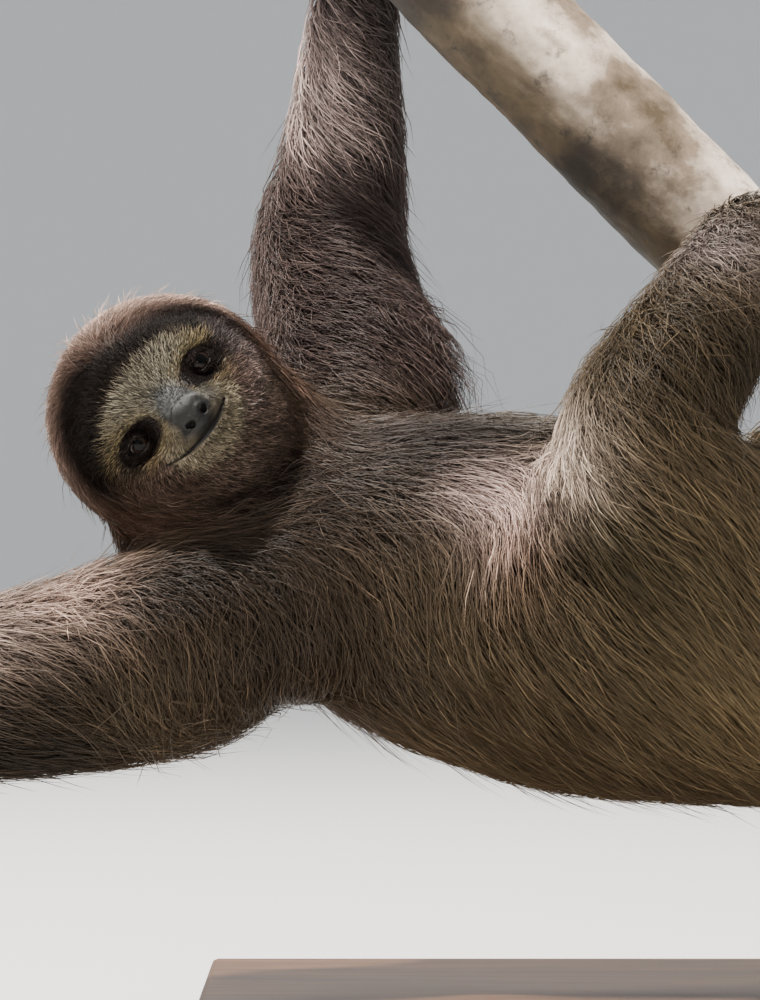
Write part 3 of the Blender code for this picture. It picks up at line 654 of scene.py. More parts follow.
# Places where the hair turns from its part's run: (middle, reach, direction, strength).
TURNS = (
    ((-0.259, -0.060, 0.202), 0.026, (0.85, 0, 0.35), 3.0),  # the ruff, up along the jaw
    ((-0.216, -0.070, 0.214), 0.024, (0.85, 0, 0.32), 3.0),
    ((-0.192, -0.070, 0.233), 0.018, (0.85, 0, 0.25), 2.5),
    ((-0.168, -0.050, 0.262), 0.026, (1.0, 0, -0.25), 2.0),
    ((-0.135, -0.045, 0.255), 0.026, (1.0, 0, 0.0), 1.5),
    ((-0.165, -0.075, 0.236), 0.018, (0.6, 0, -0.8), 1.5),
    ((-0.228, -0.075, 0.168), 0.034, (0.0, 0, -1.0), 3.0),  # the chest hangs down
    ((-0.188, -0.075, 0.170), 0.034, (0.05, 0, -1.0), 3.0),
    ((-0.119, -0.065, 0.238), 0.020, (0.9, 0, -0.45), 2.0),  # the flank's sleek arcs
    ((-0.107, -0.078, 0.212), 0.012, (-0.45, 0, -0.89), 4.0),
    ((-0.121, -0.080, 0.196), 0.016, (-0.30, 0, -0.95), 3.0),
    ((-0.091, -0.088, 0.203), 0.013, (0.30, 0, -0.95), 4.0),
    ((-0.087, -0.080, 0.243), 0.012, (0.20, 0, -1.0), 3.0),
    ((-0.072, -0.085, 0.240), 0.014, (0.60, 0, -0.80), 2.0),  # the thigh
    ((-0.055, -0.095, 0.222), 0.022, (0.92, 0, -0.42), 2.5),
    ((-0.032, -0.095, 0.208), 0.022, (0.65, 0, -0.75), 2.0),
    ((-0.060, -0.098, 0.195), 0.020, (0.85, 0, -0.50), 2.0),
    ((-0.068, -0.090, 0.165), 0.028, (0.70, 0, -0.70), 2.0),
    ((-0.045, -0.085, 0.150), 0.028, (0.85, 0, -0.55), 2.0),
    ((-0.016, -0.090, 0.190), 0.026, (0.50, 0, -0.85), 2.0),
    ((-0.028, -0.088, 0.240), 0.024, (0.40, 0, -0.90), 2.0),
    ((-0.298, -0.085, 0.174), 0.022, (0.90, 0, -0.38), 2.5),  # the upper arm
    ((-0.272, -0.085, 0.158), 0.016, (0.50, 0, -0.85), 2.5),
    ((-0.257, -0.085, 0.152), 0.016, (0.15, 0, -1.0), 2.5),
    ((-0.300, -0.075, 0.120), 0.026, (1.0, 0, -0.12), 2.0),
    ((-0.286, -0.080, 0.197), 0.014, (-0.15, 0, -0.9), 2.0),
)


def coat_flow(points, flows):
    """The lie of the hair, turned where the body's form turns it."""
    for middle, reach, direction, strength in TURNS:
        amount = strength * nearness(points, middle, reach)
        flows = flows + amount[:, None] * unit(np.array(direction, float))
    return flows


# Places where the coat is shaggy: (middle, reach, deeper, longer, looser and lighter by).
SHAGGY = (
    ((-0.215, -0.070, 0.165), 0.052, 0.000, 0.008, 0.22, 0.06),  # the chest
    ((-0.200, -0.060, 0.225), 0.036, 0.000, 0.004, 0.16, 0.10),  # the ruff
    ((-0.130, 0.085, 0.292), 0.030, 0.004, 0.004, 0.45, 0.05),  # the far armpit's fringe
    ((-0.034, -0.072, 0.285), 0.030, 0.000, 0.004, 0.70, 0.12),  # the back of the knee
    ((-0.008, -0.045, 0.325), 0.028, 0.000, -0.014, 0.50, 0.14),  # the shank
    ((-0.290, -0.085, 0.196), 0.026, 0.001, -0.024, 0.40, 0.10),  # the shoulder
    ((-0.260, -0.075, 0.140), 0.030, 0.000, 0.000, 0.20, 0.05),
    ((-0.248, -0.065, 0.122), 0.024, 0.000, -0.014, 0.45, 0.00),  # the arm's under side
    ((-0.102, -0.078, 0.228), 0.022, 0.000, -0.026, 0.05, 0.00),  # the short sleek hair of the groin
    ((-0.080, -0.084, 0.240), 0.022, 0.000, -0.018, 0.10, 0.00),
)
SHORTEST = 0.009             # the least length of a hair outside the face

# Places where the hair stands out from the lie of the coat: (middle, reach, how far).
STANDING = (
    ((-0.132, 0.080, 0.302), 0.024, 0.021),  # the far armpit's fringe
    ((-0.290, -0.065, 0.204), 0.014, 0.006),  # the top of the shoulder
    ((-0.245, -0.060, 0.120), 0.022, 0.004),  # the arm's under side
    ((-0.036, -0.075, 0.290), 0.018, 0.005),  # the back of the knee
)


def shagged(points, numbers):
    """The coat's numbers with its shaggy and its sleek places."""
    numbers = numbers.copy()
    for middle, reach, deeper, longer, looser, lighter in SHAGGY:
        amount = nearness(points, middle, reach)
        numbers[:, 0] += amount * deeper
        numbers[:, 1] += amount * longer
        numbers[:, 4] += amount * looser
        numbers[:, 6] += amount * lighter
    numbers[:, 1] = np.maximum(numbers[:, 1], SHORTEST)
    return numbers


# ------------------------------------------------------------ the skin
FLESH = [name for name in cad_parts
         if not name.startswith(("claw_", "stand_", "perch_", "eye_"))]


def grown_copy(name, growth):
    """A CAD node's form, with its split corners joined and its faces moved out a little."""
    form = bmesh.new()
    form.from_mesh(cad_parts[name].data)
    bmesh.ops.remove_doubles(form, verts=form.verts, dist=1e-6)
    bmesh.ops.recalc_face_normals(form, faces=form.faces)
    form.normal_update()
    for vert in form.verts:
        vert.co += vert.normal * growth
    return form


def fused_flesh():
    """All flesh nodes and the eyeballs as one closed form without seams."""
    gathered = bmesh.new()
    for name in [*FLESH, "eye_left", "eye_right"]:
        one = mesh_of(grown_copy(name, SEAM_GROWTH), name)
        gathered.from_mesh(one)
        bpy.data.meshes.remove(one)
    ob = linked("flesh", mesh_of(gathered, "flesh"))
    remesh = ob.modifiers.new("one form", "REMESH")
    remesh.mode = "VOXEL"
    remesh.voxel_size = SKIN_VOXEL
    mesh = evaluated_mesh(ob)
    bpy.data.objects.remove(ob)
    points = relaxed(points_of(mesh), edges_of(mesh), SKIN_ROUNDS, 0.5, -0.52)
    place_points(mesh, points - normals_of(mesh) * SEAM_GROWTH)
    return mesh


def coat_depth(places, numbers):
    """How deep the skin lies under the coat's outer form."""
    depth = numbers[:, 0]
    face = (1 - smoothstep(0.70, 1.50, face_reach(places))) * smoothstep(-0.050, -0.020, places[:, 2])
    depth = depth * (1 - face) + FACE_DEPTH * face
    return depth * (1 - hairless(places))


def sunk(mesh):
    """Moves the skin in by the coat's depth."""
    points = points_of(mesh)
    edges = edges_of(mesh)
    numbers = body_fields(points)[0]
    depth = coat_depth(head_places(points), numbers)
    depth = relaxed(depth[:, None], edges, 4)
    normals = unit(relaxed(normals_of(mesh), edges, 3))
    points = relaxed(points - normals * depth, edges, 2, 0.5, -0.5)
    place_points(mesh, points)


def divided(mesh, chosen):
    """Divides the faces that have all their corners chosen."""
    form = bmesh.new()
    form.from_mesh(mesh)
    form.verts.ensure_lookup_table()
    edges = [edge for edge in form.edges if chosen[edge.verts[0].index] and chosen[edge.verts[1].index]]
    bmesh.ops.subdivide_edges(form, edges=edges, cuts=1, use_grid_fill=True, smooth=0.0)
    form.to_mesh(mesh)
    form.free()


def folded(mesh):
    """Presses the folds of the groin and the armpit into the skin, and swells the thigh."""
    points = points_of(mesh)
    away = measure(points, GROIN_FOLD)[0]
    swell = measure(points - np.array((0.011, 0.0, 0.0)), GROIN_FOLD)[0]
    low = smoothstep(0.175, 0.200, points[:, 2])
    push = THIGH_SWELL * bell(swell / 0.009) - FOLD_DEPTH * bell(away / FOLD_WIDTH)
    hollow = np.exp(-np.sum(((points - ARMPIT[0]) / ARMPIT[1]) ** 2, axis=1))
    points = points + normals_of(mesh) * (push * low)[:, None] + UP * (ARMPIT_RISE * hollow)[:, None]
    place_points(mesh, points)


def on_face(points, reach):
    places = head_places(points)
    return (np.linalg.norm(places, axis=1) < reach) & (places[:, 2] > -0.020)


def round_features(points):
    """Whether each point is close to an eye or to the muzzle."""
    spots = [(eye, EYE_FINEST) for eye in EYES.values()] + [(box_middle("nose"), MUZZLE_FINEST)]
    return np.any([np.linalg.norm(points - np.array(spot), axis=1) < reach for spot, reach in spots], axis=0)


def refined(mesh):
    """Divides the face twice, then the muzzle and the eyes again, for lids, nostrils and lips."""
    for level in range(3):
        points = points_of(mesh)
        chosen = round_features(points) if level == 2 else on_face(points, (FACE_FINE, FACE_FINER)[level])
        divided(mesh, chosen)
        points = points_of(mesh)
        near = np.linalg.norm(head_places(points), axis=1) < FACE_FINE * 1.15
        softened = relaxed(points, edges_of(mesh), 3, 0.5, -0.5)
        points[near] = softened[near]
        place_points(mesh, points)


LID_TILT = 0.10              # how much each eye's opening slants, per metre across
LID_CREASE = 0.0012          # depth of the crease round the lids
LID_RIM = 0.0004
EYE_SINK = 0.0016            # how far the skin lies behind the eyeball's front in the opening


def lids(points):
    """Shapes the lids over each eyeball and opens the skin between them."""
    half_width, half_height = EYE_OPENING
    shell = EYE_RADIUS + LID_THICKNESS
    for side, eye in EYES.items():
        across, rise, out, sign = eye_axes(side)
        a, b, h = ((points - np.array(eye)) @ np.array((across, rise, out)).T).T
        reach = np.hypot(a, b)
        near = (reach < EYE_RADIUS * 2.2) & (h > -EYE_RADIUS)
        lid = np.sqrt(shell**2 - np.minimum(reach, shell * 0.96) ** 2)
        over = 1 - smoothstep(EYE_RADIUS * 0.80, EYE_RADIUS * 1.75, reach)
        crease = LID_CREASE * bell((reach - EYE_RADIUS * 1.35) / 0.0022)
        target = h + over * (lid - h) - crease
        tilt = b - LID_TILT * a * sign
        gap = half_height * np.maximum(1 - np.abs(a / half_width) ** 2.2, 0.0) ** 0.7
        upper = np.where(tilt > 0, 0.90, 1.0)
        inside = np.abs(tilt) / np.maximum(gap * upper, 1e-5)
        opened = (1 - smoothstep(0.90, 1.06, inside)) * (np.abs(a) < half_width)
        behind = np.sqrt(EYE_RADIUS**2 - np.minimum(reach, EYE_RADIUS * 0.98) ** 2) - EYE_SINK
        rim = LID_RIM * bell((inside - 1.3) / 0.30) * (1 - smoothstep(0.8, 1.2, reach / EYE_RADIUS))
        target = target + rim * over
        target = target * (1 - opened) + behind * opened
        points = points + np.where(near, target - h, 0.0)[:, None] * np.array(out)
    return points


NOSTRIL_DEPTH = 0.0026
NOSTRIL_EDGE = 0.0005
MOUTH_DEPTH = 0.0014
UPPER_LIP = 0.0008
LOWER_LIP = 0.0009


def muzzle(points):
    """Cuts the nostrils and the line of the mouth, and swells the lips."""
    places = head_places(points)
    left, crown, forward = places.T
    push = -NOSTRIL_DEPTH * nostril_places(places)
    for sign in (1, -1):
        a = left - NOSE_LEAN - sign * NOSTRIL_SPREAD
        b = crown + NOSTRIL_DROP
        push += NOSTRIL_EDGE * bell((np.hypot(a, b) - 0.0030) / 0.0011) * (b > -0.001)
    away, above = mouth_distance(places)
    push -= MOUTH_DEPTH * bell(away / 0.0007)
    push += UPPER_LIP * bell((above - 0.0028) / 0.0018) * (away < 0.008)
    push += LOWER_LIP * bell((above + 0.0030) / 0.0020) * (away < 0.008)
    return points + (push * smoothstep(-0.012, -0.004, forward))[:, None] * np.array(GAZE)


def unwrapped(mesh):
    """Lays the skin out flat on the map OFBake, by its own shape."""
    ob = linked("unwrapping", mesh)
    layer = mesh.uv_layers.new(name="OFBake")
    mesh.uv_layers.active = layer
    bpy.context.view_layer.objects.active = ob
    ob.select_set(True)
    bpy.ops.object.mode_set(mode="EDIT")
    bpy.ops.mesh.select_all(action="SELECT")
    bpy.ops.uv.smart_project(angle_limit=math.radians(66), island_margin=0.002)
    bpy.ops.object.mode_set(mode="OBJECT")
    bpy.data.objects.remove(ob)


# ------------------------------------------------------------ materials
def add_node(tree, kind, settings=None):
    """A node with its values set: an input of that name, or else the node's own setting."""
    node = tree.nodes.new(kind)
    for name, value in (settings or {}).items():
        if name in node.inputs:
            node.inputs[name].default_value = value
        else:
            setattr(node, name, value)
    return node


def new_material(name, settings):
    """A material, its tree and its one shader, with the shader's constant values."""
    material = bpy.data.materials.new(name)
    material.use_nodes = True
    tree = material.node_tree
    tree.nodes.clear()
    output = add_node(tree, "ShaderNodeOutputMaterial")
    shader = add_node(tree, "ShaderNodeBsdfPrincipled", settings)
    tree.links.new(shader.outputs["BSDF"], output.inputs["Surface"])
    return material, tree, shader


def tone(tree):
    return add_node(tree, "ShaderNodeAttribute", {"attribute_name": "tone"}).outputs["Color"]


def grain(tree, scale, detail=4.0, roughness=0.55, stretch=None):
    """A noise in the object's own space, drawn out along an axis where stretch says so."""
    place = add_node(tree, "ShaderNodeTexCoord").outputs["Object"]
    if stretch:
        mapping = add_node(tree, "ShaderNodeMapping", {"Scale": stretch})
        tree.links.new(place, mapping.inputs["Vector"])
        place = mapping.outputs["Vector"]
    pattern = add_node(tree, "ShaderNodeTexNoise", {"Scale": scale, "Detail": detail, "Roughness": roughness})
    tree.links.new(place, pattern.inputs["Vector"])
    return pattern.outputs["Fac"]


def rescaled(tree, value, low, high, start=0.0, end=1.0):
    """Carries a value from the range start-end to low-high."""
    node = add_node(tree, "ShaderNodeMapRange",
                    {"From Min": start, "From Max": end, "To Min": low, "To Max": high})
    tree.links.new(value, node.inputs["Value"])
    return node.outputs["Result"]


def ramped(tree, value, stops):
    """Colours a value by stops of (place, colour)."""
    node = add_node(tree, "ShaderNodeValToRGB")
    for _ in range(len(stops) - 2):
        node.color_ramp.elements.new(0.5)
    for element, (place, colour) in zip(node.color_ramp.elements, stops):
        element.position = place
        element.color = (*linear(*colour), 1.0)
    tree.links.new(value, node.inputs["Fac"])
    return node.outputs["Color"]


def multiplied(tree, colour, factor):
    mix = add_node(tree, "ShaderNodeMix", {"data_type": "RGBA", "blend_type": "MULTIPLY", "Factor": 1.0})
    tree.links.new(colour, mix.inputs["A"])
    tree.links.new(factor, mix.inputs["B"])
    return mix.outputs["Result"]


def bumped(tree, shader, pattern, strength, distance):
    bump = add_node(tree, "ShaderNodeBump", {"Strength": strength, "Distance": distance})
    tree.links.new(pattern, bump.inputs["Height"])
    tree.links.new(bump.outputs["Normal"], shader.inputs["Normal"])


def coat_material(name, shine):
    material, tree, shader = new_material(name, {"Roughness": 0.42, "Specular IOR Level": shine})
    mottled = multiplied(tree, tone(tree), rescaled(tree, grain(tree, 900.0, 2.0), 0.72, 1.28))
    tree.links.new(mottled, shader.inputs["Base Color"])
    return material


def skin_material():
    material, tree, shader = new_material("skin", {"Roughness": 0.52, "Specular IOR Level": 0.26})
    pores = grain(tree, 1100.0, 3.0, 0.6)
    blotches = grain(tree, 260.0, 4.0, 0.6)
    colour = tone(tree)
    for pattern, low, high in ((pores, 0.75, 1.25), (blotches, 0.55, 1.45)):
        colour = multiplied(tree, colour, rescaled(tree, pattern, low, high, 0.2, 0.8))
    tree.links.new(colour, shader.inputs["Base Color"])
    bumped(tree, shader, pores, 0.55, 0.0004)
    return material


def eye_material():
    material, tree, shader = new_material("eye", {"Roughness": 0.06, "Specular IOR Level": 0.12})
    tree.links.new(tone(tree), shader.inputs["Base Color"])
    return material


def claw_material():
    material, tree, shader = new_material("claw", {"Roughness": 0.34})
    fibres = grain(tree, 420.0, 5.0, 0.6)
    streaked = multiplied(tree, tone(tree), rescaled(tree, fibres, 0.65, 1.3))
    tree.links.new(streaked, shader.inputs["Base Color"])
    bumped(tree, shader, fibres, 0.4, 0.0002)
    return material


BARK_STOPS = ((0.30, (86, 72, 52)), (0.43, (146, 127, 107)), (0.60, (264, 243, 222)), (0.74, (150, 132, 106)))
WOOD_STOPS = ((0.3, (74, 50, 34)), (0.7, (124, 88, 60)))


def bark_material():
    material, tree, shader = new_material("bark", {"Roughness": 0.72})
    broad = ramped(tree, grain(tree, 22.0, 6.0, 0.62), BARK_STOPS)
    spots = rescaled(tree, grain(tree, 75.0, 6.0, 0.75), 0.35, 1.0, 0.34, 0.44)
    colour = multiplied(tree, multiplied(tree, broad, spots), tone(tree))
    tree.links.new(colour, shader.inputs["Base Color"])
    bumped(tree, shader, grain(tree, 480.0, 6.0, 0.7), 0.5, 0.0006)
    return material


# ------------------------------------------------------------ the coat
class Skin:
    """The finished skin's surface, which the hair is rooted in and follows."""

    def __init__(self, mesh):
        self.points = points_of(mesh)
        self.edges = edges_of(mesh)
        self.faces = [tuple(face.vertices) for face in mesh.polygons]
        self.tree = BVHTree.FromPolygons([tuple(p) for p in self.points], self.faces)
        self.places = head_places(self.points)
        self.numbers, flows, base, self.weights = body_fields(self.points)
        self.numbers[:, 0] = coat_depth(self.places, self.numbers)
        for middle, reach, rise in STANDING:
            self.numbers[:, 0] += rise * nearness(self.points, middle, reach)
        self.normals = unit(relaxed(normals_of(mesh), self.edges, 2))
        self.colours = coat_colours(self.points, self.places, base)
        flows = relaxed(unit(self.laid(coat_flow(self.points, flows))), self.edges, 12)
        self.flows = unit(self.laid(flows))
        self.size = np.array([len(face) for face in self.faces])
        self.first = np.concatenate(([0], np.cumsum(self.size)[:-1]))
        self.flat = np.concatenate([np.array(face) for face in self.faces])
        self.areas = np.array([face.area for face in mesh.polygons])
        self.centres = self.over_faces(self.points)
        self.face_flow = unit(self.over_faces(self.flows))
        self.face_normal = unit(self.over_faces(self.normals))
        self.face_numbers = self.over_faces(self.numbers)
        self.face_colour = self.over_faces(self.colours)
        self.face_weights = self.over_faces(self.weights.T)
        self.face_places = self.over_faces(self.places)
        self.shown = shown(self.centres, self.face_normal)
        self.uv = read_rows(mesh.uv_layers["OFBake"].data, "uv", 2)

    def laid(self, flows):
        """Directions with what stands out of the skin taken off them."""
        return flows - np.sum(flows * self.normals, axis=1)[:, None] * self.normals

    def over_faces(self, values):
        """The mean over each face of what its corners have."""
        return np.add.reduceat(values[self.flat], self.first, axis=0) / self.size[:, None]

    def scatter(self, density, count, random):
        """Places spread over the faces by density: faces, points and map places."""
        share = np.cumsum(self.areas * density)
        picks = (np.arange(count) + random.random(count)) / count * share[-1]
        faces = np.searchsorted(share, picks)
        weights = random.random((count, 4)) ** 1.5 + 1e-6
        weights[self.size[faces] == 3, 3] = 0.0
        weights /= weights.sum(axis=1, keepdims=True)
        last = self.size[faces] - 1
        spots = self.first[faces][:, None] + np.minimum(np.arange(4)[None], last[:, None])
        points = np.einsum("nk,nkd->nd", weights, self.points[self.flat[spots]])
        uv = np.einsum("nk,nkd->nd", weights, self.uv[spots])
        return faces, points, uv

    def trace(self, faces, points, lengths, yaw, curl, steps):
        """Follows the lie of the coat from each root; returns places, normals and faces."""
        rows, normals, hits = [points], [self.face_normal[faces]], [faces]
        stride = (lengths / steps)[:, None]
        for step in range(steps):
            normal = self.face_normal[faces]
            flow = self.face_flow[faces]
            flow = unit(flow - np.sum(flow * normal, axis=1)[:, None] * normal)
            angle = (yaw + curl * (step + 0.5) / steps)[:, None]
            flow = flow * np.cos(angle) + np.cross(normal, flow) * np.sin(angle)
            points = points + flow * stride
            found = [self.tree.find_nearest(p) for p in points.tolist()]
            points = np.array([f[0] for f in found])
            faces = np.array([f[2] for f in found])
            rows.append(points)
            normals.append(self.face_normal[faces])
            hits.append(faces)
        return np.stack(rows, axis=1), np.stack(normals, axis=1), np.stack(hits, axis=1)


def tuft_mesh(name, lines, normals, widths, colours, uv):
    """Closed three-sided hairs, each tapering to a point, from rows of places along them."""
    count, levels, _ = lines.shape
    rings = levels - 1
    tangent = np.empty_like(lines)
    tangent[:, 1:-1] = lines[:, 2:] - lines[:, :-2]
    tangent[:, 0] = lines[:, 1] - lines[:, 0]
    tangent[:, -1] = lines[:, -1] - lines[:, -2]
    tangent = unit(tangent)
    side = unit(np.cross(tangent, normals))
    up = np.cross(side, tangent)
    half = widths[:, :rings, None] / 2
    ring = np.stack((lines[:, :rings] + side[:, :rings] * half,
                     lines[:, :rings] + up[:, :rings] * half * 0.9,
                     lines[:, :rings] - side[:, :rings] * half), axis=2)
    points = np.concatenate((ring.reshape(count, rings * 3, 3), lines[:, -1:]), axis=1)
    per = rings * 3 + 1
    corners, sizes = tube_faces(rings, 3)
    last, tip = (rings - 1) * 3, rings * 3
    for a, b in ((0, 1), (1, 2), (2, 0)):
        corners += [last + a, tip, last + b]
    corners += [0, 1, 2]
    sizes += [3] * 4
    offsets = np.arange(count)[:, None] * per
    corners = (np.array(corners)[None] + offsets).ravel()
    mesh = mesh_from_arrays(name, points.reshape(-1, 3), corners, np.tile(sizes, count))
    shares = np.linspace(0, 1, levels)
    tints = np.concatenate((np.repeat(colours[:, :rings], 3, axis=1), colours[:, -1:]), axis=1)
    paint(mesh, tints.reshape(-1, 3))
    along = np.concatenate((np.repeat(shares[:rings], 3), shares[-1:]))
    beside = np.concatenate((np.tile((0.5, 0.0, -0.5), rings), (0.0,)))
    spots = uv[:, None, :] + np.stack((beside, along - 0.5), axis=1)[None] * UV_PATCH
    layer = mesh.uv_layers.new(name="OFBake")
    layer.data.foreach_set("uv", spots.reshape(-1, 2)[corners].astype(np.float32).ravel())
    shade_smooth(mesh)
    return mesh


# The parts whose hair each piece of the coat holds; the head's own is its long hair.
COAT_PIECES = {
    "coat_chest": ("neck", "head"),
    "coat_flank": ("trunk",),
    "coat_arm_right": ("arm_right",),
    "coat_arm_left": ("arm_left",),
    "coat_leg_right": ("leg_right",),
    "coat_leg_left": ("leg_left", "tail"),
}
PIECE_LIMIT = 199000         # triangles
BODY_HAIRS = 66000
HOOD_HAIRS = 19600
FACE_HAIRS = 23600
BODY_CLUMPS = 9500
HOOD_CLUMPS = 5200
BODY_STEPS = 3               # lengths that each hair bends between
SHORT_STEPS = 2
STRAY_SHARE = 0.035          # of the hairs that leave their tuft
TUFT_PULL = 0.75             # how far a tuft's hairs are drawn to its middle
ROOT_DEPTH = 0.0003          # of the hairs' roots under the skin
LIGHT_HAIR = 1.9             # how much lighter the lighter hairs are
LIGHTEST = 0.95              # the strongest channel of any hair
COAT_SHINE = 0.24
SHORT_COAT_SHINE = 0.08
BOX_MARGIN = 0.001
HIDDEN_WIDTH = 1.75          # hairs are wider and fewer on the sides that the photo doesn't show
SHOWN_WIDTH = 0.75
HIDDEN_DENSITY = 0.36
SHOWN_DENSITY = 1.30         # added to the hidden sides' own
# The face's hair at the nose, and what is added at the face's edge.
FACE_EDGE = 0.046
FACE_LENGTH = (0.0028, 0.0056)
FACE_RISE = (0.0012, 0.0022)
FACE_WIDTH = (0.00022, 0.00009)
FACE_TONES = np.array((0.50, 1.0, 1.60))     # from root to tip


def shown(places, normals):
    """1 on the side that the photo shows, where the hair is finer and closer together."""
    facing = np.sum(unit(CAMERA_PLACE - places) * normals, axis=1)
    x, _, z = places.T
    framed = smoothstep(-0.345, -0.325, x) * smoothstep(0.025, 0.005, x) * smoothstep(0.46, 0.44, z)
    return smoothstep(-0.35, 0.25, facing) * framed


def paleness(colours):
    """1 for the lightest coat, where single hairs show most against the gaps between them."""
    return smoothstep(0.10, 0.45, colours.mean(axis=1))


def clumped(skin, lines, roots, pull, density, clumps, contrast):
    """Draws hairs towards the middle line of their tuft; returns each tuft's tint and height too."""
    random = np.random.default_rng(SEED + 5)
    heads, spots, _ = skin.scatter(density, clumps, random)
    guide, _, _ = skin.trace(heads, spots, skin.face_numbers[heads][:, 1], random.normal(0, 0.10, clumps),
                             random.normal(0, 0.25, clumps), lines.shape[1] - 1)
    nearest = KDTree(clumps)
    for index, spot in enumerate(spots):
        nearest.insert(spot, index)
    nearest.balance()
    owner = np.array([nearest.find(root)[1] for root in roots.tolist()])
    tint = np.clip(random.normal(1.0, contrast, clumps), 0.3, 2.0)[owner]
    height = random.uniform(0.82, 1.06, clumps)[owner]
    return lines + pull[..., None] * (guide[owner] - lines) * TUFT_PULL, tint, height


def hair_lines(skin, count, density, steps, random, clumps, contrast=0.15, tips=0.72):
    """Centre lines, normals, widths, colours, map places and root faces of one kind of hair."""
    faces, roots, uv = skin.scatter(density, count, random)
    depth, length, width, clump, wander, _, light = skin.face_numbers[faces].T
    shares = np.linspace(0, 1, steps + 1)
    stray = random.random(count) < STRAY_SHARE
    length = length * (0.65 + 0.6 * random.random(count)) * np.where(stray, 1.15, 1.0)
    yaw = random.normal(0.0, 1.0, count) * wander
    curl = random.normal(0.0, 1.0, count) * wander * np.where(stray, 1.2, 1.8)
    lines, normals, hits = skin.trace(faces, roots, length, yaw, curl, steps)
    layer = 0.22 + 0.82 * random.random(count) ** 0.85 + 0.25 * stray
    pull = clump[:, None] * (0.6 + 0.5 * random.random((count, 1))) * shares[None] ** 1.4
    pull = pull * (1 - stray[:, None])
    lines, tint, lift = clumped(skin, lines, roots, pull, density, clumps, contrast)
    layer = layer * lift
    # Each hair leaves the skin steeply and then runs along it, with its root just under the skin.
    rise = 1 - (1 - shares) ** 2.6
    height = depth[:, None] * layer[:, None] * rise[None] - ROOT_DEPTH * (shares[None] == 0)
    height = height * (1 + 0.8 * stray[:, None] * shares[None] ** 2)
    lines = lines + normals * height[..., None]
    lines = np.clip(lines, np.array(CAD_BOX[0]) + BOX_MARGIN, np.array(CAD_BOX[1]) - BOX_MARGIN)
    taper = np.interp(shares, (0.0, 0.34, 0.67, 1.0), (1.0, 0.95, 0.72, 0.0))
    widths = width[:, None] * (0.7 + 0.6 * random.random((count, 1))) * taper[None]
    widths = widths * (HIDDEN_WIDTH - (HIDDEN_WIDTH - SHOWN_WIDTH) * skin.shown[faces])[:, None]
    # Roots are darker than tips, tufts and hairs differ, and pale hairs differ the most.
    strength = tint * (0.60 + 0.62 * random.random(count)) * (0.62 + 0.50 * layer)
    strength = strength * np.where((random.random(count) < light) & ~stray, LIGHT_HAIR, 1.0)
    pale = paleness(skin.face_colour[faces])
    strength = strength ** (1 + 1.3 * pale) * (1 + 0.2 * pale)
    colour = skin.face_colour[hits[:, :1]] * 0.25 + skin.face_colour[hits] * 0.75
    colour = colour * strength[:, None, None] * (1.27 - tips * (1 - shares**1.1))[None, :, None]
    colour = colour * (LIGHTEST / np.maximum(colour.max(axis=-1, keepdims=True), LIGHTEST))
    return lines, normals, widths, colour, uv, faces


def face_hairs(skin, count, density, random):
    """The face's short close hair; each tuft takes the marking a little beside its root, painted light and
    shade included.
    """
    faces, roots, uv = skin.scatter(density, count, random)
    places = skin.face_places[faces]
    left, crown, _ = places.T
    outer = np.clip(np.hypot(left, crown) / FACE_EDGE, 0.0, 1.0)
    beside_nose = smoothstep(0.006, 0.018, np.hypot(left - NOSE_LEAN, crown + 0.008))
    beside_eye = smoothstep(0.005, 0.016, np.hypot(np.abs(left) - PATCH_MIDDLE, crown))
    chin = smoothstep(-0.008, -0.016, crown) * smoothstep(0.050, 0.036, np.hypot(left, crown))
    shorter = (0.40 + 0.60 * beside_nose) * (0.38 + 0.62 * beside_eye) * (1 - 0.50 * chin)
    length = (FACE_LENGTH[0] + FACE_LENGTH[1] * outer**1.5) * shorter * (0.7 + 0.6 * random.random(count))
    yaw = random.normal(0.0, 0.25, count)
    lines, normals, hits = skin.trace(faces, roots, length, yaw, yaw * 0, SHORT_STEPS)
    shares = np.linspace(0, 1, SHORT_STEPS + 1)
    layer = 0.35 + 0.65 * random.random(count)
    depth = (FACE_RISE[0] + FACE_RISE[1] * outer) * (0.5 + 0.5 * shorter)
    lines = lines + normals * (depth[:, None] * layer[:, None] * shares[None] ** 0.8)[..., None]
    widths = (FACE_WIDTH[0] + FACE_WIDTH[1] * outer)[:, None] * (0.7 + 0.6 * random.random((count, 1)))
    widths = widths * np.array((1.0, 0.8, 0.0))[None]
    beside = places + random.normal(0.0, 0.0013, places.shape) * np.array((1.0, 1.0, 0.0))
    marking = face_colours(roots, beside, skin.face_colour[faces], lines=False)
    # A hair that runs over an eye's dark patch is dark as well, so that the patch has a clean edge.
    crossing = np.maximum(*(eye_patch(skin.face_places[hits[:, step]]) for step in (1, SHORT_STEPS)))
    marking += (EYE_PATCH - marking) * crossing[:, None]
    patchy = np.clip(random.normal(1.0, 0.30, len(skin.faces)), 0.4, 1.8)[faces]
    strength = (0.26 + 1.50 * random.random(count) ** 1.6) * patchy
    strength *= 1 + speckles(places) * np.where(random.random(count) < 0.20, 2.8, -0.50)
    strength = (1 + (strength - 1) * (0.35 + 0.65 * beside_nose))[:, None, None]
    colour = marking[:, None, :] * strength * FACE_TONES[None, :, None]
    return lines, normals, widths, colour, uv, faces


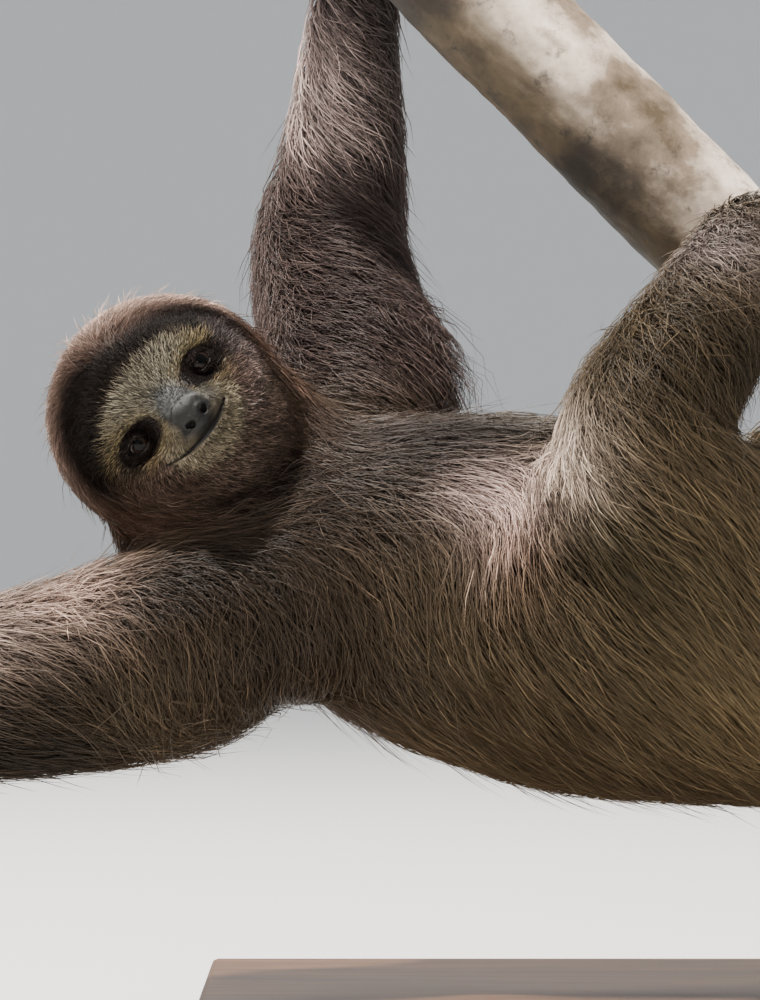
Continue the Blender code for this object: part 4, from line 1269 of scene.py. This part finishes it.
def add_pieces(name, made, material, members=None):
    """One coat piece of the chosen hairs, or as many as keep each under the limit of triangles."""
    if members is None:
        members = np.arange(len(made[0]))
    rings = made[0].shape[1] - 1
    triangles = (rings - 1) * 6 + 4
    parts = max(1, math.ceil(len(members) * triangles / PIECE_LIMIT))
    for number, some in enumerate(np.array_split(members, parts)):
        lines, normals, widths, colours, uv, _ = (kind[some] for kind in made)
        title = name if parts == 1 else f"{name}_{number + 1}"
        mesh = tuft_mesh(title, lines, normals, widths, np.clip(colours, 0.0, 1.0), uv)
        mesh.materials.append(material)
        new_object(title, mesh, "body_fur")


def add_coat(skin):
    """The long hair of the body, the hood round the face, and the face's short hair."""
    random = np.random.default_rng(SEED)
    glossy = coat_material("coat", COAT_SHINE)
    dull = coat_material("short_coat", SHORT_COAT_SHINE)
    head = skin.face_weights[:, -1]
    face = face_mask(skin.face_places) * head
    upper = head * smoothstep(-0.036, -0.022, skin.face_places[:, 1])
    body = skin.face_numbers[:, 5] * (HIDDEN_DENSITY + SHOWN_DENSITY * skin.shown)
    body = body * (1 - smoothstep(0.35, 0.65, upper)) * (1 - smoothstep(0.3, 0.7, face))
    made = hair_lines(skin, BODY_HAIRS, body, BODY_STEPS, random, BODY_CLUMPS)
    names = np.array([*PARTS, "head"])
    owners = names[np.argmax(skin.face_weights[made[-1]], axis=1)]
    for piece, parts in COAT_PIECES.items():
        add_pieces(piece, made, glossy, np.flatnonzero(np.isin(owners, parts)))
    inside = 1 - smoothstep(0.76, 0.94, face_reach(skin.face_places))
    inside *= smoothstep(-0.042, -0.026, skin.face_places[:, 2])
    hood = smoothstep(0.35, 0.65, upper) * (1 - inside) * (0.4 + skin.shown)
    made = hair_lines(skin, HOOD_HAIRS, hood, SHORT_STEPS, random, HOOD_CLUMPS, 0.30, 0.95)
    add_pieces("coat_hood", made, dull)
    lips = mouth_distance(skin.face_places)[0]
    short = face * (1 - hairless(skin.face_places)) * smoothstep(0.0007, 0.0016, lips) * (head > 0.3)
    add_pieces("coat_face", face_hairs(skin, FACE_HAIRS, short, random), dull)


# ------------------------------------------------------------ eyes, claws and the branch
IRIS_REACH = 0.74            # in shares of the eyeball's radius
IRIS_RIM = 0.62
PUPIL_REACH = 0.40
CORNEA_SWELL = 0.05


def add_eyes():
    material = eye_material()
    for side, eye in EYES.items():
        across, rise, out, _ = eye_axes(side)
        form = bmesh.new()
        bmesh.ops.create_uvsphere(form, u_segments=64, v_segments=40, radius=1.0)
        mesh = mesh_of(form, "eyeball_" + side)
        points = points_of(mesh)
        reach = np.hypot(points[:, 0], points[:, 1])
        forward = points[:, 2] > 0
        colour = np.repeat(linear(18, 13, 11)[None], len(points), axis=0)
        for edge, shade in ((IRIS_REACH, (15, 11, 9)), (IRIS_RIM, (28, 20, 15)), (PUPIL_REACH, (3, 2, 2))):
            colour[forward & (reach < edge)] = linear(*shade)
        points *= EYE_RADIUS * (1 + CORNEA_SWELL * bell(reach / 0.5) * forward)[:, None]
        place_points(mesh, points @ np.array((across, rise, out)) + np.array(eye))
        paint(mesh, colour)
        shade_smooth(mesh)
        mesh.materials.append(material)
        new_object("eyeball_" + side, mesh, "eye", "eye_" + side)


CLAW_ROOT = linear(96, 84, 68)
CLAW_TIP = linear(150, 134, 108)
CLAW_REACH = 0.04            # from the middle of a claw to where it is palest


def add_claws():
    """Each claw is its CAD form, divided until it is round, paler towards its ends."""
    material = claw_material()
    for name in sorted(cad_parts):
        if not name.startswith("claw_"):
            continue
        title = "horn_" + name.removeprefix("claw_")
        ob = linked("rounding", mesh_of(grown_copy(name, 0.0), title))
        ob.modifiers.new("round", "SUBSURF").levels = 2
        rounded = evaluated_mesh(ob)
        bpy.data.objects.remove(ob)
        away = np.linalg.norm(points_of(rounded) - np.array(box_middle(name)), axis=1)
        share = smoothstep(0.0, 1.0, away / CLAW_REACH)[:, None]
        paint(rounded, CLAW_ROOT + share * (CLAW_TIP - CLAW_ROOT))
        shade_smooth(rounded)
        rounded.materials.append(material)
        new_object(title, rounded, "claw", name)


def smooth_path(landmarks, steps):
    """Centres and radii along a smooth curve through the landmarks."""
    centres = np.array([centre for centre, radius in landmarks])
    radii = np.array([radius for centre, radius in landmarks])
    centres = np.vstack((2 * centres[0] - centres[1], centres, 2 * centres[-1] - centres[-2]))
    radii = np.concatenate((radii[:1], radii, radii[-1:]))
    rows, sizes = [], []
    for index in range(1, len(centres) - 2):
        last = index == len(centres) - 3
        for step in range(steps + last):
            t = step / steps
            weights = np.array((-t + 2 * t**2 - t**3, 2 - 5 * t**2 + 3 * t**3,
                                t + 4 * t**2 - 3 * t**3, -t**2 + t**3)) / 2
            rows.append(weights @ centres[index - 1:index + 3])
            sizes.append(weights @ radii[index - 1:index + 3])
    return np.array(rows), np.array(sizes)


BARK_SIDES = 120
BARK_STEPS = 34
BARK_RELIEF = 0.0009
BARK_CAP = 0.0004            # how far the cut ends bulge
BARK_LIT_SIDE = (0.78, -0.15, 0.62)
BARK_SHADED_TONE = np.array((0.075, 0.062, 0.038))     # how much of its tone the under side keeps in painted shade


def add_branch():
    """The cut length of branch, with a shallow relief of knots and rings inside its CAD form."""
    centres, radii = smooth_path(BRANCH, BARK_STEPS)
    along = unit(np.gradient(centres, axis=0))
    front = np.array((0.0, -1.0, 0.0))
    front = unit(front - (along @ front)[:, None] * along)
    rise = np.cross(front, along)
    angles = np.arange(BARK_SIDES) / BARK_SIDES * 2 * math.pi
    rows = []
    for centre, radius, a, b in zip(centres, radii, front, rise):
        ring = np.cos(angles)[:, None] * a + np.sin(angles)[:, None] * b
        relief = [noise.fractal(Vector(spot) * 42.0, 0.6, 2.1, 5) for spot in centre + ring * radius]
        depth = BARK_RELIEF * (0.5 + np.clip(relief, -0.5, 1.5))
        rows.append(centre + ring * (radius - depth)[:, None])
    caps = [centres[0] - along[0] * BARK_CAP, centres[-1] + along[-1] * BARK_CAP]
    points = np.concatenate((*rows, caps))
    corners, sizes = tube_faces(len(rows), BARK_SIDES)
    last = (len(rows) - 1) * BARK_SIDES
    for side in range(BARK_SIDES):
        after = (side + 1) % BARK_SIDES
        corners += [len(points) - 2, side, after, len(points) - 1, last + after, last + side]
        sizes += [3, 3]
    mesh = mesh_from_arrays("bark", points, corners, sizes)
    # Painted shade: the bark is darker on the side turned from the light.
    lit = normals_of(mesh) @ unit(np.array(BARK_LIT_SIDE))
    lit_share = smoothstep(-0.50, 0.92, lit)[:, None]
    paint(mesh, BARK_SHADED_TONE + lit_share * (1 - BARK_SHADED_TONE))
    shade_smooth(mesh)
    mesh.materials.append(bark_material())
    new_object("bark", mesh, "bark", "perch_branch")


def dress_stand():
    """The stand keeps its CAD form: a base of varnished wood, and the rest brushed steel."""
    wood, tree, shader = new_material("dark_wood", {"Roughness": 0.38})
    veins = grain(tree, 9.0, 8.0, 0.6, (1.0, 9.0, 9.0))
    tree.links.new(ramped(tree, veins, WOOD_STOPS), shader.inputs["Base Color"])
    settings = {"Base Color": (*linear(176, 178, 180), 1.0), "Metallic": 1.0, "Roughness": 0.34}
    steel, tree, shader = new_material("brushed_steel", settings)
    bumped(tree, shader, grain(tree, 300.0, 3.0), 0.15, 0.0002)
    for name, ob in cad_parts.items():
        if name.startswith("stand_"):
            for slot in ob.material_slots:
                slot.material = wood if name == "stand_base" else steel


# ------------------------------------------------------------ the studio
CAMERA_FIELD = 0.21          # half the height of the view at the object's middle plane
CAMERA_DISTANCE = 2.2
SENSOR = 36.0                # width in millimetres
FLOOR_REACH = 9.0
WALL_REACH = 14.0
WALL_HEIGHT = 11.0
STUDIO_SIDES = 96
FLOOR_LEVEL = CAD_BOX[0][2] - 0.0004


def backdrop():
    """A pale floor that curves up into a round wall, far outside every view's camera."""
    rise = WALL_REACH - FLOOR_REACH
    turns = np.radians(np.arange(0, 91, 5))
    profile = [(3.0, 0.0), (6.0, 0.0)]
    profile += [(FLOOR_REACH + rise * math.sin(t), rise * (1 - math.cos(t))) for t in turns]
    profile += [(WALL_REACH, WALL_HEIGHT)]
    angles = np.arange(STUDIO_SIDES) / STUDIO_SIDES * 2 * math.pi
    points = [(r * math.cos(a), r * math.sin(a), FLOOR_LEVEL + z) for r, z in profile for a in angles]
    points.append((0.0, 0.0, FLOOR_LEVEL))
    corners, sizes = tube_faces(len(profile), STUDIO_SIDES)
    for side in range(STUDIO_SIDES):
        corners += [len(points) - 1, side, (side + 1) % STUDIO_SIDES]
        sizes.append(3)
    mesh = mesh_from_arrays("studio_floor", points, corners, sizes)
    shade_smooth(mesh)
    settings = {"Base Color": (0.86, 0.86, 0.85, 1.0), "Roughness": 0.95, "Specular IOR Level": 0.1}
    mesh.materials.append(new_material("pale_floor", settings)[0])
    return linked("studio_floor", mesh)


AIM = Vector((-0.13, 0.0, 0.24))
# Each light's name, place, width, power and colour.
LIGHTS = (("key", (-0.88, -0.62, 2.4), 0.18, 155.0, (1.0, 0.94, 0.87)),
          ("rim", (-0.4, 1.4, 2.1), 0.7, 55.0, (1.0, 0.96, 0.90)),
          ("fill", (0.7, -2.3, 0.8), 1.4, 14.0, (0.95, 0.97, 1.0)),
          ("eye light", (-0.90, -2.2, 0.72), 0.14, 6.0, (1.0, 0.98, 0.94)))


def add_studio():
    camera = bpy.data.cameras.new("camera")
    camera.sensor_width = SENSOR
    camera.lens = SENSOR / 2 / (CAMERA_FIELD / CAMERA_DISTANCE)
    camera.clip_start = 0.05
    camera.clip_end = 60.0
    ob = linked("camera", camera)
    ob.location = CAMERA_PLACE
    ob.rotation_euler = (math.radians(90), 0, 0)
    bpy.context.scene.camera = ob
    backdrop()
    world = bpy.data.worlds.new("world")
    world.use_nodes = True
    sky = world.node_tree.nodes["Background"]
    sky.inputs["Color"].default_value = (0.90, 0.94, 1.0, 1.0)
    sky.inputs["Strength"].default_value = 0.70
    bpy.context.scene.world = world
    for name, place, width, power, colour in LIGHTS:
        light = bpy.data.lights.new(name, "AREA")
        light.shape = "DISK"
        light.size = width
        light.energy = power
        light.color = colour
        lamp = linked(name, light)
        lamp.location = place
        lamp.rotation_euler = (AIM - Vector(place)).to_track_quat("-Z", "Y").to_euler()
        lamp.visible_camera = False
        lamp.visible_glossy = name != "fill"


# ------------------------------------------------------------ the whole model
SKIN_SHADE = 0.38            # how much darker the skin is than the coat over it
PALE_SHADE = 0.30            # and how much more under the palest coat


def build():
    mesh = fused_flesh()
    sunk(mesh)
    folded(mesh)
    refined(mesh)
    points = muzzle(lids(points_of(mesh)))
    place_points(mesh, points)
    unwrapped(mesh)
    mesh.name = "skin"
    skin = Skin(mesh)
    shade = (SKIN_SHADE + PALE_SHADE * paleness(skin.colours)) * (1 - face_mask(skin.places))
    paint(mesh, skin.colours * (1 - shade)[:, None])
    shade_smooth(mesh)
    mesh.materials.clear()
    mesh.materials.append(skin_material())
    new_object("skin", mesh, "body_fur", *FLESH)
    add_coat(skin)
    add_eyes()
    add_claws()
    add_branch()
    dress_stand()
    add_studio()


build()
